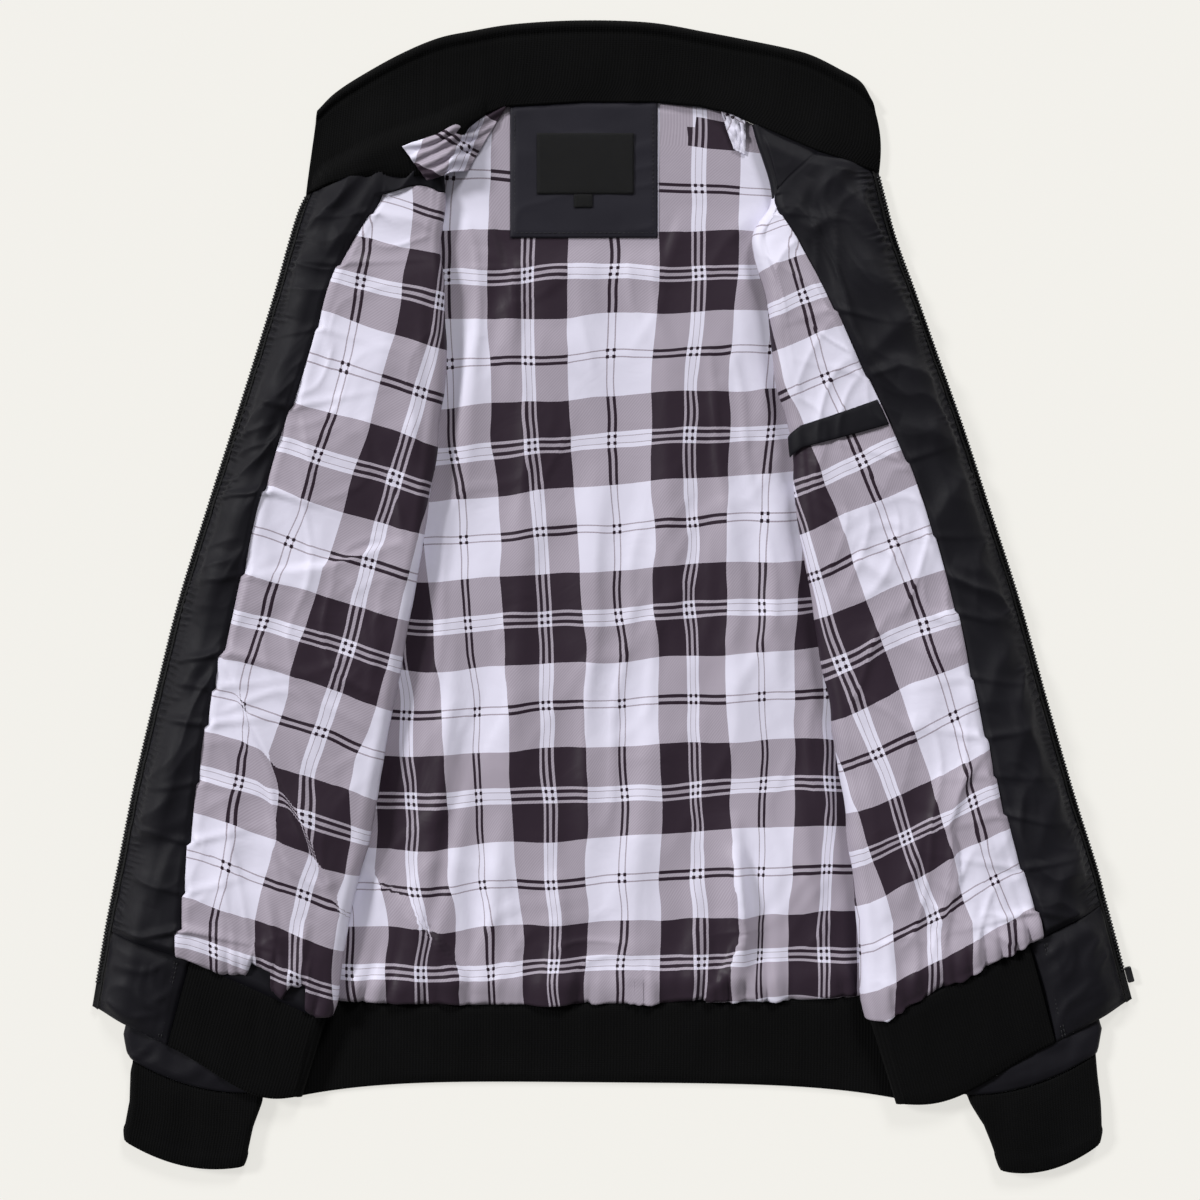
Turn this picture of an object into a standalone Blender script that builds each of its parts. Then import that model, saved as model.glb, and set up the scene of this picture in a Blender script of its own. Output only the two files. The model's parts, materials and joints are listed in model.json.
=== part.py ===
"""Bomber jacket laid open on its back, lining side up.

Lengths in the tables and constants are millimetres, heights are above the surface it lies on.
+Y points to the collar and +X to the front that carries the inner pocket. The back lies on the
floor. Each front is folded in at the side, lies over the back, and is turned open again over its
sleeve, so that a front's shell is one Z-shaped wall.
"""

import math
from collections import namedtuple

import bmesh
import bpy
from mathutils import Vector

MM = 0.001

# Walls, and how the layers lie on each other
SHELL = 1.2             # shell cloth with its padding
LINING = 1.0
FACING = 1.0
RIB = 2.4               # double rib knit, at a ridge
RIB_GROOVE = 0.72       # share of the wall left in a groove between two ridges
RIB_PITCH = 9.0         # distance between the ridges
COLLAR = 3.4
GAP = 0.3               # between two pieces at a seam
LIFT_LINING = SHELL + GAP
TOP_OF_SKIN = LIFT_LINING + LINING
LOW_LAYER = 5.8         # top of a front's hidden layer
FLOOR_RUN = 6.0         # flat foot of the side fold
ZIP_EDGE = 1.0          # height of a front's shell at the zip
ZIP_RISE = 27.0         # a front climbs over its sleeve within this distance of the zip
TAPE = 8.0              # visible width of the zip tape
TAPE_OVER_SHELL = 3.5   # the tape stands out past the shell
TAB_START = 9.2         # the thick hem tab leans towards the tape, so it starts a little further in
TURN_MARGIN = 2.6       # shell, gap and lining outside the inner face of a fold
HIDDEN_LINING = 24.0    # back lining that runs on under a front
SLEEVE_WALL = 3.0       # shell, padding and lining
CUFF_WALL = 2.6
CUFF_HEIGHT = 8.6
NECK_GAP = 0.9          # the collar clears the bent ends of the layers below it
SEAM = 0.003            # half of a seam's gap, as a share of a row or a column
YOKE_EDGE = 0.012       # the yoke's lower edge stops short of the lining by this share of a row
TAB_LEAN = 0.08         # the seam between the hem tab and its rib leans by this share of a column
CUFF_GROOVE = 0.6       # depth of the grooves between a cuff's ribs
COLLAR_BOW = 3.0        # the collar's right end bows out by this much

# Rows of a front, from the neck seam to the edge of the hem band. Each has its point on the zip,
# on the seam between facing and lining and on the fold over the back, the X of the side fold
# beneath, the height of the shell over the sleeve and how far the lining's row bows up (+Y).
FrontRow = namedtuple("FrontRow", "zip_x zip_y seam_x seam_y fold_x fold_y side_x loft bow")
YOKE_ROW, HEM_ROW, BAND_ROW = 1, 11, 12

LEFT_FRONT = (
    FrontRow(-212, 277, -159, 303, -121, 316, -180, 8.2, 0),
    FrontRow(-218, 264, -159, 275, -116, 277, -185, 9.6, 5),
    FrontRow(-225, 241, -179, 241, -119, 241, -195, 12.5, 0),
    FrontRow(-233, 212, -194, 212, -117, 210, -203, 15.5, 0),
    FrontRow(-247, 166, -208, 165, -116, 162, -219, 16.4, 0),
    FrontRow(-265, 109, -227, 108, -121, 107, -238, 16.4, 0),
    FrontRow(-280, 62, -242, 60, -128, 58, -253, 16.4, 0),
    FrontRow(-300, -3, -258, -6, -140, -9, -269, 16.4, 0),
    FrontRow(-316, -67, -274, -69, -151, -74, -275, 16.4, 0),
    FrontRow(-331, -131, -285, -134, -165, -147, -269, 16.4, 0),
    FrontRow(-342, -186, -293, -195, -180, -215, -242, 16.4, 0),
    FrontRow(-351, -231, -298, -248, -197, -290, -226, 15.8, 0),
    FrontRow(-360, -284, -307, -310, -214, -345, -226, 10.8, -10),
)
RIGHT_FRONT = (
    FrontRow(183, 292, 141, 306, 95, 326, 152, 8.2, 0),
    FrontRow(188, 272, 111, 275, 101, 272, 159, 9.6, 0),
    FrontRow(195, 246, 126, 243, 95, 244, 171, 12.5, 0),
    FrontRow(208, 210, 144, 210, 105, 207, 183, 15.5, 0),
    FrontRow(225, 162, 167, 162, 110, 161, 197, 16.4, 0),
    FrontRow(242, 114, 190, 115, 121, 111, 214, 16.4, 0),
    FrontRow(258, 65, 211, 65, 126, 65, 229, 16.4, 0),
    FrontRow(280, -3, 232, -3, 136, -3, 249, 16.4, 0),
    FrontRow(299, -72, 249, -74, 148, -72, 259, 16.4, 0),
    FrontRow(318, -138, 264, -138, 159, -141, 259, 16.4, 0),
    FrontRow(334, -189, 279, -188, 166, -203, 235, 16.4, 0),
    FrontRow(340, -212, 294, -235, 176, -292, 214, 15.8, 0),
    FrontRow(358, -279, 304, -308, 194, -350, 214, 10.8, -10),
)
FRONTS = {"left": LEFT_FRONT, "right": RIGHT_FRONT}
INWARD = {"left": 1.0, "right": -1.0}     # direction from a front's zip to the middle

# Neck seam, between the collar and everything below it, from the left zip to the right zip
NeckPoint = namedtuple("NeckPoint", "x y")
NECK_SEAM = (
    NeckPoint(-212, 277),
    NeckPoint(-159, 303),
    NeckPoint(-121, 316),
    NeckPoint(-100, 328),
    NeckPoint(-75, 338),
    NeckPoint(-23, 341),
    NeckPoint(29, 341),
    NeckPoint(60, 338),
    NeckPoint(81, 333),
    NeckPoint(95, 326),
    NeckPoint(141, 306),
    NeckPoint(183, 292),
)

# Collar, from its left end to its right end: a point on the neck seam, the point of the rolled
# edge across from it, and the height of the seam's underside
CollarRib = namedtuple("CollarRib", "seam_x edge_x edge_y seam_z")
COLLAR_RIBS = (
    CollarRib(-212, -205, 335, 1.2),
    CollarRib(-194, -193, 347, 5.0),
    CollarRib(-172, -175, 359, 8.2),
    CollarRib(-144, -148, 374, 8.2),
    CollarRib(-121, -122, 385, 7.0),
    CollarRib(-100, -99, 390, 4.0),
    CollarRib(-75, -68, 395, 1.6),
    CollarRib(-23, -23, 397.5, 0.6),
    CollarRib(29, 25, 396, 0.6),
    CollarRib(60, 66, 389, 1.6),
    CollarRib(81, 92, 384, 4.0),
    CollarRib(104, 121, 378, 7.0),
    CollarRib(125, 138, 373, 8.2),
    CollarRib(145, 156, 364, 8.2),
    CollarRib(166, 171, 355, 5.0),
    CollarRib(183, 179, 342, 1.2),
)

# Sleeves, from the armhole to the cuff seam: outer and inner edge, underside, height
SleeveRing = namedtuple("SleeveRing", "outer_x outer_y inner_x inner_y base height")
SLEEVES = {
    "left": (
        SleeveRing(-206, 206, -137, 196, 6.1, 8.7),
        SleeveRing(-213, 182, -135, 172, 6.1, 9.4),
        SleeveRing(-239, 107, -140, 93, 6.1, 9.6),
        SleeveRing(-269, 17, -158, -3, 6.1, 9.6),
        SleeveRing(-294, -86, -178, -114, 6.1, 9.6),
        SleeveRing(-318, -189, -205, -220, 6.1, 9.2),
        SleeveRing(-326, -226, -223, -254, 6.1, 8.8),
        SleeveRing(-332, -266, -236, -292, 0.9, 9.0),
        SleeveRing(-338, -303, -238, -325, 0.0, 9.4),
        SleeveRing(-334, -319, -240, -342, 0.0, 9.2),
    ),
    "right": (
        SleeveRing(183, 206, 126, 194, 6.1, 8.7),
        SleeveRing(190, 182, 128, 172, 6.1, 9.4),
        SleeveRing(217, 107, 141, 93, 6.1, 9.6),
        SleeveRing(249, 17, 154, -3, 6.1, 9.6),
        SleeveRing(281, -86, 171, -114, 6.1, 9.6),
        SleeveRing(307, -189, 194, -220, 6.1, 9.2),
        SleeveRing(318, -226, 211, -252, 6.1, 8.8),
        SleeveRing(328, -266, 225, -290, 0.9, 9.0),
        SleeveRing(337, -299, 230, -325, 0.0, 9.4),
        SleeveRing(334, -315, 240, -344, 0.0, 9.2),
    ),
}
CUFFS = {
    "left": (
        SleeveRing(-332, -320.2, -241, -342.8, 0.0, CUFF_HEIGHT),
        SleeveRing(-333, -349, -249, -367, 0.0, CUFF_HEIGHT),
        SleeveRing(-338, -376, -255, -394, 0.0, CUFF_HEIGHT),
    ),
    "right": (
        SleeveRing(333, -316.0, 243, -344.0, 0.0, CUFF_HEIGHT),
        SleeveRing(335, -349, 256, -365, 0.0, CUFF_HEIGHT),
        SleeveRing(336, -378, 267, -397, 0.0, CUFF_HEIGHT),
    ),
}

# Large folds: a soft ridge along a line, in plan
Fold = namedtuple("Fold", "x0 y0 x1 y1 width height")
BACK_FOLDS = (
    Fold(-88, 240, -104, 40, 13, 2.6),
    Fold(-60, 120, -72, -160, 15, 2.2),
    Fold(-14, 90, -20, -200, 13, 2.0),
    Fold(36, 210, 44, -60, 15, 2.4),
    Fold(76, 150, 88, -120, 13, 2.2),
    Fold(22, -90, 12, -270, 14, 2.6),
    Fold(-112, -70, -140, -270, 14, 3.2),
    Fold(-76, -150, -92, -275, 11, 2.6),
    Fold(84, -150, 92, -275, 12, 3.4),
    Fold(128, -120, 146, -270, 13, 2.6),
    Fold(-40, -190, -34, -275, 10, 2.2),
)
FRONT_FOLDS = {
    "left": (
        Fold(-266, -42, -232, -112, 7, 4.2),
        Fold(-232, -112, -188, -214, 8, 4.6),
        Fold(-246, 18, -200, 24, 7, 2.6),
        Fold(-150, 200, -176, 80, 12, 1.8),
        Fold(-196, 60, -216, -60, 12, 1.8),
        Fold(-270, -120, -262, -220, 9, 2.2),
        Fold(-196, 262, -172, 214, 8, 2.8),
        Fold(-206, 240, -222, 190, 7, 2.2),
    ),
    "right": (
        Fold(164, 26, 190, 8, 7, 3.0),
        Fold(222, -124, 268, -188, 8, 4.0),
        Fold(176, -20, 200, -150, 12, 2.0),
        Fold(206, -80, 226, -180, 10, 1.8),
        Fold(150, 240, 178, 180, 9, 2.8),
        Fold(170, 258, 206, 200, 8, 2.4),
        Fold(136, 286, 120, 258, 7, 1.6),
    ),
}
SLEEVE_COLUMNS, CUFF_COLUMNS = 4, 14    # columns across the flat top of a sleeve and of a cuff

HEM_GATHERS = 9         # gathers of the back lining between the two fronts
HEM_GATHER_HEIGHT = 3.6
HEM_GATHER_REACH = 30.0

# Trim
WELT_TOP = (122, 109, 181, 134)       # from the fold to the facing seam
WELT_BOTTOM = (134, 95, 190, 117)
WELT_WALL = 0.9
WELT_INNER_STATION = 1.93             # its inner end, just before the fold
PATCH_LEFT, PATCH_RIGHT, PATCH_TOP, PATCH_BOTTOM = -71.5, 30.5, 339.0, 247.0
PATCH_WALL = 1.0
LABEL_WIDTH, LABEL_HEIGHT, LABEL_X, LABEL_TOP = 67.0, 42.0, -19.5, 319.0
SIZE_TAB_WIDTH, SIZE_TAB_HEIGHT, SIZE_TAB_X = 13.0, 9.0, -21.0
LABEL_WALL = 0.6
SLIDER = (4.6, 11.0, 3.4)
SLIDER_ROW = BAND_ROW - 0.25

COLOURS = {
    "shell": ((0.016, 0.016, 0.020), 0.42, 0.0),
    "rib": ((0.006, 0.006, 0.006), 0.9, 0.0),
    "lining": ((0.55, 0.52, 0.60), 0.45, 0.0),
    "zip": ((0.012, 0.012, 0.013), 0.6, 0.0),
    "metal": ((0.05, 0.05, 0.055), 0.35, 0.9),
    "label": ((0.008, 0.008, 0.008), 0.6, 0.0),
}


def smoothstep(value):
    """Ease from 0 to 1."""
    value = min(1.0, max(0.0, value))
    return value * value * (3.0 - 2.0 * value)


def lerp(start, end, share):
    return start + (end - start) * share


def table_value(rows, position, column, straight_from=None):
    """Read a table's column at a fractional row, along a smooth curve through its rows, and on
    straight lines past the row straight_from."""
    position = min(max(position, 0.0), len(rows) - 1.0)
    index = min(int(position), len(rows) - 2)
    share = position - index
    value = [getattr(row, column) for row in rows]
    start, end = value[index], value[index + 1]
    if straight_from is not None and index >= straight_from:
        return lerp(start, end, share)
    slope_in = (end - value[max(index - 1, 0)]) / (2.0 if index > 0 else 1.0)
    last = index + 2 > len(rows) - 1
    slope_out = (value[min(index + 2, len(rows) - 1)] - start) / (1.0 if last else 2.0)
    square, cube = share ** 2, share ** 3
    return (start * (2 * cube - 3 * square + 1) + end * (3 * square - 2 * cube)
            + slope_in * (cube - 2 * square + share) + slope_out * (cube - square))


def neck_y(x):
    """Y of the neck seam at an X."""
    points = NECK_SEAM
    for first, second in zip(points, points[1:]):
        if x <= second.x or second is points[-1]:
            return lerp(first.y, second.y, (x - first.x) / (second.x - first.x))
    return points[-1].y


def fold_height(folds, x, y):
    """Height that a set of folds adds at a point: soft ridges that fade at both ends."""
    total = 0.0
    for fold in folds:
        run_x, run_y = fold.x1 - fold.x0, fold.y1 - fold.y0
        length_squared = run_x ** 2 + run_y ** 2
        along = ((x - fold.x0) * run_x + (y - fold.y0) * run_y) / length_squared
        if 0.0 < along < 1.0:
            across = abs((x - fold.x0) * run_y - (y - fold.y0) * run_x) / math.sqrt(length_squared)
            if across < fold.width:
                side = 0.5 + 0.5 * math.cos(math.pi * across / fold.width)
                total += fold.height * side * math.sin(math.pi * along) ** 0.7
    return total


class Front:
    """The stack of one opened front. Stations across it run 0 at the zip, 1 at the seam between
    facing and lining, 2 where the fold over the back starts, 3 where the fold ends beneath,
    4 and 5 where the side fold starts and ends, and 6 at its foot on the floor."""

    def __init__(self, side):
        self.side = side
        self.rows = FRONTS[side]
        self.inward = INWARD[side]

    def value(self, row, column):
        return table_value(self.rows, row, column, straight_from=HEM_ROW)

    def plan(self, station, row):
        """Plan point on the top layer, for stations 0 to 2."""
        value = self.value
        seam = (value(row, "seam_x"), value(row, "seam_y"))
        if station <= 1.0:
            start, end, share, bow = (value(row, "zip_x"), value(row, "zip_y")), seam, station, 0.0
        else:
            turn = self.turn_radius(row) + TURN_MARGIN
            start = seam
            end = (value(row, "fold_x") - self.inward * turn, value(row, "fold_y"))
            share = station - 1.0
            bow = value(row, "bow") * math.sin(math.pi * min(share, 1.0) ** 1.6)
        return lerp(start[0], end[0], share), lerp(start[1], end[1], share) + bow

    def turn_radius(self, row):
        return (self.value(row, "loft") - LOW_LAYER) / 2

    def side_y(self, row):
        """Y of the hidden layer at the side fold: the top layer's row, read at the same X."""
        side_x = self.value(row, "side_x")
        seam_x, zip_x = self.value(row, "seam_x"), self.value(row, "zip_x")
        station = (side_x - zip_x) / (seam_x - zip_x)
        if station > 1.0:
            station = 1.0 + (side_x - seam_x) / (self.value(row, "fold_x") - seam_x)
        return self.plan(min(station, 2.0), row)[1]

    def height(self, x, y, row):
        """Height of the shell's inner face in the top layer."""
        from_zip = math.hypot(x - self.value(row, "zip_x"), y - self.value(row, "zip_y"))
        return lerp(ZIP_EDGE, self.value(row, "loft"), smoothstep(from_zip / ZIP_RISE))

    def inner_face(self, station, row):
        """Point on the inner face of the shell's wall, the face towards the sleeve. The rows
        next to the collar are bent to follow the neck seam."""
        point = self.straight_face(station, row)
        if row < 1.0:
            top = self.straight_face(station, 0.0)
            point.y += (neck_y(top.x) - top.y) * (1.0 - row) ** 2
        return point

    def straight_face(self, station, row):
        """The inner face before its first rows are bent."""
        side_radius = LOW_LAYER / 2
        if station <= 2.0:
            x, y = self.plan(station, row)
            z = self.height(x, y, row)
        elif station <= 3.0:
            start_x, y = self.plan(2.0, row)
            radius = (self.height(start_x, y, row) - LOW_LAYER) / 2
            angle = math.pi * (station - 2.0)
            x = start_x + self.inward * radius * math.sin(angle)
            z = LOW_LAYER + radius + radius * math.cos(angle)
        else:
            start_x, start_y = self.plan(2.0, row)
            end_x = self.value(row, "side_x") + self.inward * side_radius
            side_y = self.side_y(row)
            if station <= 4.0:
                x = lerp(start_x, end_x, station - 3.0)
                y = lerp(start_y, side_y, station - 3.0)
                z = LOW_LAYER
            elif station <= 5.0:
                angle = math.pi * (station - 4.0)
                x = end_x - self.inward * side_radius * math.sin(angle)
                y = side_y
                z = max(0.0, side_radius + side_radius * math.cos(angle))
            else:
                x = end_x + self.inward * FLOOR_RUN * (station - 5.0)
                y = side_y
                z = 0.0
        return Vector((x, y, z))

    def point(self, station, row, lift=0.0):
        """Point lifted off the inner face, along the wall's normal."""
        base = self.inner_face(station, row)
        if lift == 0.0:
            return base
        step = 0.02
        across = self.inner_face(station + step, row) - self.inner_face(max(station - step, 0.0), row)
        low, high = max(row - step, 0.0), min(row + step, float(BAND_ROW))
        along = self.inner_face(station, high) - self.inner_face(station, low)
        normal = across.cross(along)
        if normal.length < 1e-9:
            return base + Vector((0.0, 0.0, lift))
        normal.normalize()
        return base - normal * lift * self.inward

    def station_at(self, distance, row):
        """Station at a distance from the zip, before the facing seam."""
        value = self.value
        width = math.hypot(value(row, "seam_x") - value(row, "zip_x"),
                           value(row, "seam_y") - value(row, "zip_y"))
        return distance / width

    def row_at(self, station, y):
        """Row whose point at a station lies at a Y."""
        low, high = float(YOKE_ROW), float(HEM_ROW)
        for _ in range(40):
            middle = (low + high) / 2
            if self.plan(station, middle)[1] > y:
                low = middle
            else:
                high = middle
        return (low + high) / 2

    def band_seam(self, row):
        """Station of the seam between the hem band's tab and its rib."""
        return 1.0 + TAB_LEAN * (BAND_ROW - row)


LEFT, RIGHT = Front("left"), Front("right")


def foot_x(front, row):
    """X where the foot of a side fold ends and the back begins."""
    return front.value(row, "side_x") + front.inward * (LOW_LAYER / 2 + FLOOR_RUN + GAP)


BACK_HEM_Y, BACK_EDGE_Y = -282.5, -337.0    # top and bottom of the hem band at the centre back
LEVEL_ROW = 8.0                             # rows bend towards the hem's line from here down


def back_row_y(x, row):
    """Y of a row of the back at an X, on the line between the feet of the two side folds."""
    left_x, right_x = foot_x(LEFT, row), foot_x(RIGHT, row)
    left_y, right_y = LEFT.side_y(row), RIGHT.side_y(row)
    share = (x - left_x) / (right_x - left_x)
    mean = (left_y + right_y) / 2
    if row > HEM_ROW:
        middle = lerp(BACK_HEM_Y, BACK_EDGE_Y, row - HEM_ROW)
    elif row > LEVEL_ROW:
        level = (LEFT.side_y(LEVEL_ROW) + RIGHT.side_y(LEVEL_ROW)) / 2
        middle = lerp(level, BACK_HEM_Y, (row - LEVEL_ROW) / (HEM_ROW - LEVEL_ROW))
    else:
        middle = mean
    hump = 1.0 - min(1.0, abs(2.0 * share - 1.0)) ** 4
    return lerp(left_y, right_y, share) + (middle - mean) * hump


def back_point(x, row):
    """Plan point of the back; its first rows are bent to follow the neck seam."""
    y = back_row_y(x, row)
    if row < 1.0:
        y += (neck_y(x) - back_row_y(x, 0.0)) * (1.0 - row) ** 2
    return x, y


def make_material(name):
    colour, roughness, metallic = COLOURS[name]
    material = bpy.data.materials.new(name)
    material.use_nodes = True
    shader = material.node_tree.nodes["Principled BSDF"]
    shader.inputs["Base Color"].default_value = (*colour, 1.0)
    shader.inputs["Roughness"].default_value = roughness
    shader.inputs["Metallic"].default_value = metallic
    return material


def add_object(name, mesh, finish):
    mesh.materials.append(MATERIALS[finish])
    mesh.shade_smooth()
    obj = bpy.data.objects.new(name, mesh)
    COLLECTION.objects.link(obj)
    return obj


def grid_mesh(name, columns, rows, place, drop=None):
    """A grid whose point (column, row) is moved to place(column, row), in millimetres. Faces for
    which drop(column, row) is true are deleted. Column 0 and the last may coincide, as on a ring."""
    bm = bmesh.new()
    bmesh.ops.create_grid(bm, x_segments=columns, y_segments=rows, size=1.0)
    index = {}
    for vert in bm.verts:
        index[vert] = (round((vert.co.x + 1) / 2 * columns), round((vert.co.y + 1) / 2 * rows))
    if drop:
        dropped = []
        for face in bm.faces:
            corner_column = min(index[vert][0] for vert in face.verts)
            corner_row = min(index[vert][1] for vert in face.verts)
            if drop(corner_column, corner_row):
                dropped.append(face)
        bmesh.ops.delete(bm, geom=dropped, context="FACES")
    for vert in bm.verts:
        vert.co = Vector(place(*index[vert])) * MM
    bmesh.ops.remove_doubles(bm, verts=bm.verts, dist=1e-6)
    mesh = bpy.data.meshes.new(name)
    bm.to_mesh(mesh)
    bm.free()
    return mesh


def face_up(mesh):
    """Turn a sheet's faces over if the first of them looks down."""
    if mesh.polygons[0].normal.z < 0:
        mesh.flip_normals()


def thicken(obj, thickness, offset=1.0, ridges=None):
    """Give a sheet its wall. ridges names the vertex group of the raised ribs."""
    wall = obj.modifiers.new("wall", "SOLIDIFY")
    wall.thickness = thickness * MM
    wall.offset = offset
    if ridges:
        wall.vertex_group = ridges
        wall.thickness_vertex_group = RIB_GROOVE


def sheet(name, finish, thickness, columns, rows, place, drop=None):
    """A cloth wall that stands on the placed grid and grows upwards."""
    mesh = grid_mesh(name, columns, rows, place, drop)
    face_up(mesh)
    obj = add_object(name, mesh, finish)
    thicken(obj, thickness)
    return obj


def ribbed_sheet(name, finish, thickness, columns, rows, place, is_ridge):
    """A knit wall, plain beneath and raised into ribs on top where is_ridge(column) is true."""
    tagged = {}

    def placed(column, row):
        point = Vector(place(column, row))
        if is_ridge(column):
            tagged[tuple(round(value, 3) for value in point)] = True
        return point

    mesh = grid_mesh(name, columns, rows, placed)
    face_up(mesh)
    obj = add_object(name, mesh, finish)
    group = obj.vertex_groups.new(name="ridges")
    chosen = []
    for vert in mesh.vertices:
        if tuple(round(value / MM, 3) for value in vert.co) in tagged:
            chosen.append(vert.index)
    group.add(chosen, 1.0, "REPLACE")
    thicken(obj, thickness, ridges="ridges")
    return obj


def stations(*runs):
    """Spread stations: each run is (start, end, steps)."""
    values = [runs[0][0]]
    for start, end, steps in runs:
        values.extend(lerp(start, end, (step + 1) / steps) for step in range(steps))
    return values


# Columns that a front's layers share beside the zip, by their distance from it, and rows that
# they all share
RISE_COLUMNS = (TAPE + GAP, 13.0, 18.0, 23.0, 28.0)
NECK_START = 0.02
YOKE_ROWS = stations((NECK_START, 1.0, 2))
PANEL_ROWS = stations((1.0, HEM_ROW - SEAM, 17))
BAND_ROWS = [HEM_ROW + SEAM, float(BAND_ROW)]


def rise_station(front, column, row):
    """Station of a shared column; the column past them all is the facing's seam."""
    if column >= len(RISE_COLUMNS):
        return 1.0
    return front.station_at(RISE_COLUMNS[column], row)


def front_shell(front):
    """Shell of one front: over the sleeve, round the inner fold, back under it, round the side."""
    rise = len(RISE_COLUMNS) + 1
    across = stations((1.0, 2.0, 2), (2.0, 3.0, 5), (3.0, 4.0, 1), (4.0, 5.0, 4), (5.0, 6.0, 1))
    down = YOKE_ROWS + PANEL_ROWS[1:]

    def place(column, row):
        line = down[row]
        if column == 0:
            station = front.station_at(TAPE_OVER_SHELL, line)
        elif column < rise:
            station = rise_station(front, column - 1, line)
        else:
            station = across[column - rise]
        return front.inner_face(station, line)

    sheet(f"{front.side}_front_shell", "shell", SHELL, rise + len(across) - 1, len(down) - 1, place)


def skin_wave(front, station, row, point):
    """How far the top layer's skin is puffed out over the shell by its large folds."""
    wave = fold_height(FRONT_FOLDS[front.side], point.x, point.y)
    from_zip = math.hypot(point.x - front.value(row, "zip_x"), point.y - front.value(row, "zip_y"))
    fade = smoothstep((2.0 - station) / 0.15) if station > 1.0 else smoothstep((from_zip - TAPE) / 8.0)
    ends = smoothstep(row / 0.6) * smoothstep((HEM_ROW - row) / 0.25)
    return wave * fade * ends


def front_facing(front):
    """Facing of one front: a strip beside the zip that widens into a yoke at the neck."""
    strip = len(RISE_COLUMNS)
    across = stations((1.0, 2.0, 8), (2.0, 2.6, 3))
    down = YOKE_ROWS + PANEL_ROWS[1:]
    yoke_rows = len(YOKE_ROWS) - 1

    def place(column, row):
        line = down[row]
        if column < strip:
            station = rise_station(front, column, line)
        elif row > yoke_rows or (column == strip and row == yoke_rows):
            station = 1.0 - SEAM
        else:
            station = across[column - strip]
            line -= YOKE_EDGE if row == yoke_rows else 0.0
        point = front.point(station, line, LIFT_LINING)
        point.z += skin_wave(front, station, line, point)
        return point

    def drop(column, row):
        return column >= strip and row >= yoke_rows

    sheet(f"{front.side}_facing", "shell", FACING, strip + len(across) - 1, len(down) - 1, place, drop)


def front_lining(front):
    """Lining of one front, from the facing seam over the inner fold and a little beneath."""
    across = stations((1.0 + SEAM, 2.0, 8), (2.0, 3.0, 5), (3.0, 3.25, 1))
    down = [1.0 + SEAM] + PANEL_ROWS[1:]

    def place(column, row):
        station, line = across[column], down[row]
        point = front.point(station, line, LIFT_LINING)
        if station < 2.0:
            point.z += skin_wave(front, station, line, point)
        return point

    sheet(f"{front.side}_lining", "lining", LINING, len(across) - 1, len(down) - 1, place)


def hem_band(front):
    """Hem band of one front: a tab of shell cloth beside the zip, then rib round both folds."""
    tab_steps = len(RISE_COLUMNS)
    rows = len(BAND_ROWS) - 1

    def place_tab(column, row):
        line = BAND_ROWS[row]
        if column == 0:
            station = front.station_at(TAB_START, line)
        elif column < tab_steps:
            station = rise_station(front, column, line)
        else:
            station = front.band_seam(line) - SEAM
        return front.inner_face(station, line)

    sheet(f"{front.side}_hem_tab", "shell", RIB, tab_steps, rows, place_tab)

    width = abs(front.value(HEM_ROW, "fold_x") - front.value(HEM_ROW, "seam_x"))
    ridge_steps = 2 * round(width / RIB_PITCH)
    across = stations((1.0, 2.0, ridge_steps), (2.0, 3.0, 5), (3.0, 4.0, 1), (4.0, 5.0, 4), (5.0, 6.0, 1))

    def place_rib(column, row):
        line, station = BAND_ROWS[row], across[column]
        if station < 2.0:
            station = lerp(front.band_seam(line) + SEAM, 2.0, station - 1.0)
        return front.inner_face(station, line)

    ribbed_sheet(f"{front.side}_hem_rib", "rib", RIB, len(across) - 1, rows, place_rib,
                 lambda column: column % 2 == 0 or column >= ridge_steps)


def zip_tape(front):
    """Zip tape along the edge of one front, from the collar to the end of the hem band."""
    distances = (0.0, TAPE_OVER_SHELL, TAPE)
    down = YOKE_ROWS + PANEL_ROWS[1:-1] + [float(HEM_ROW)] + BAND_ROWS[1:]

    def place(column, row):
        line = down[row]
        return front.point(front.station_at(distances[column], line), line, LIFT_LINING)

    sheet(f"{front.side}_zip_tape", "zip", FACING, len(distances) - 1, len(down) - 1, place)


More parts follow.
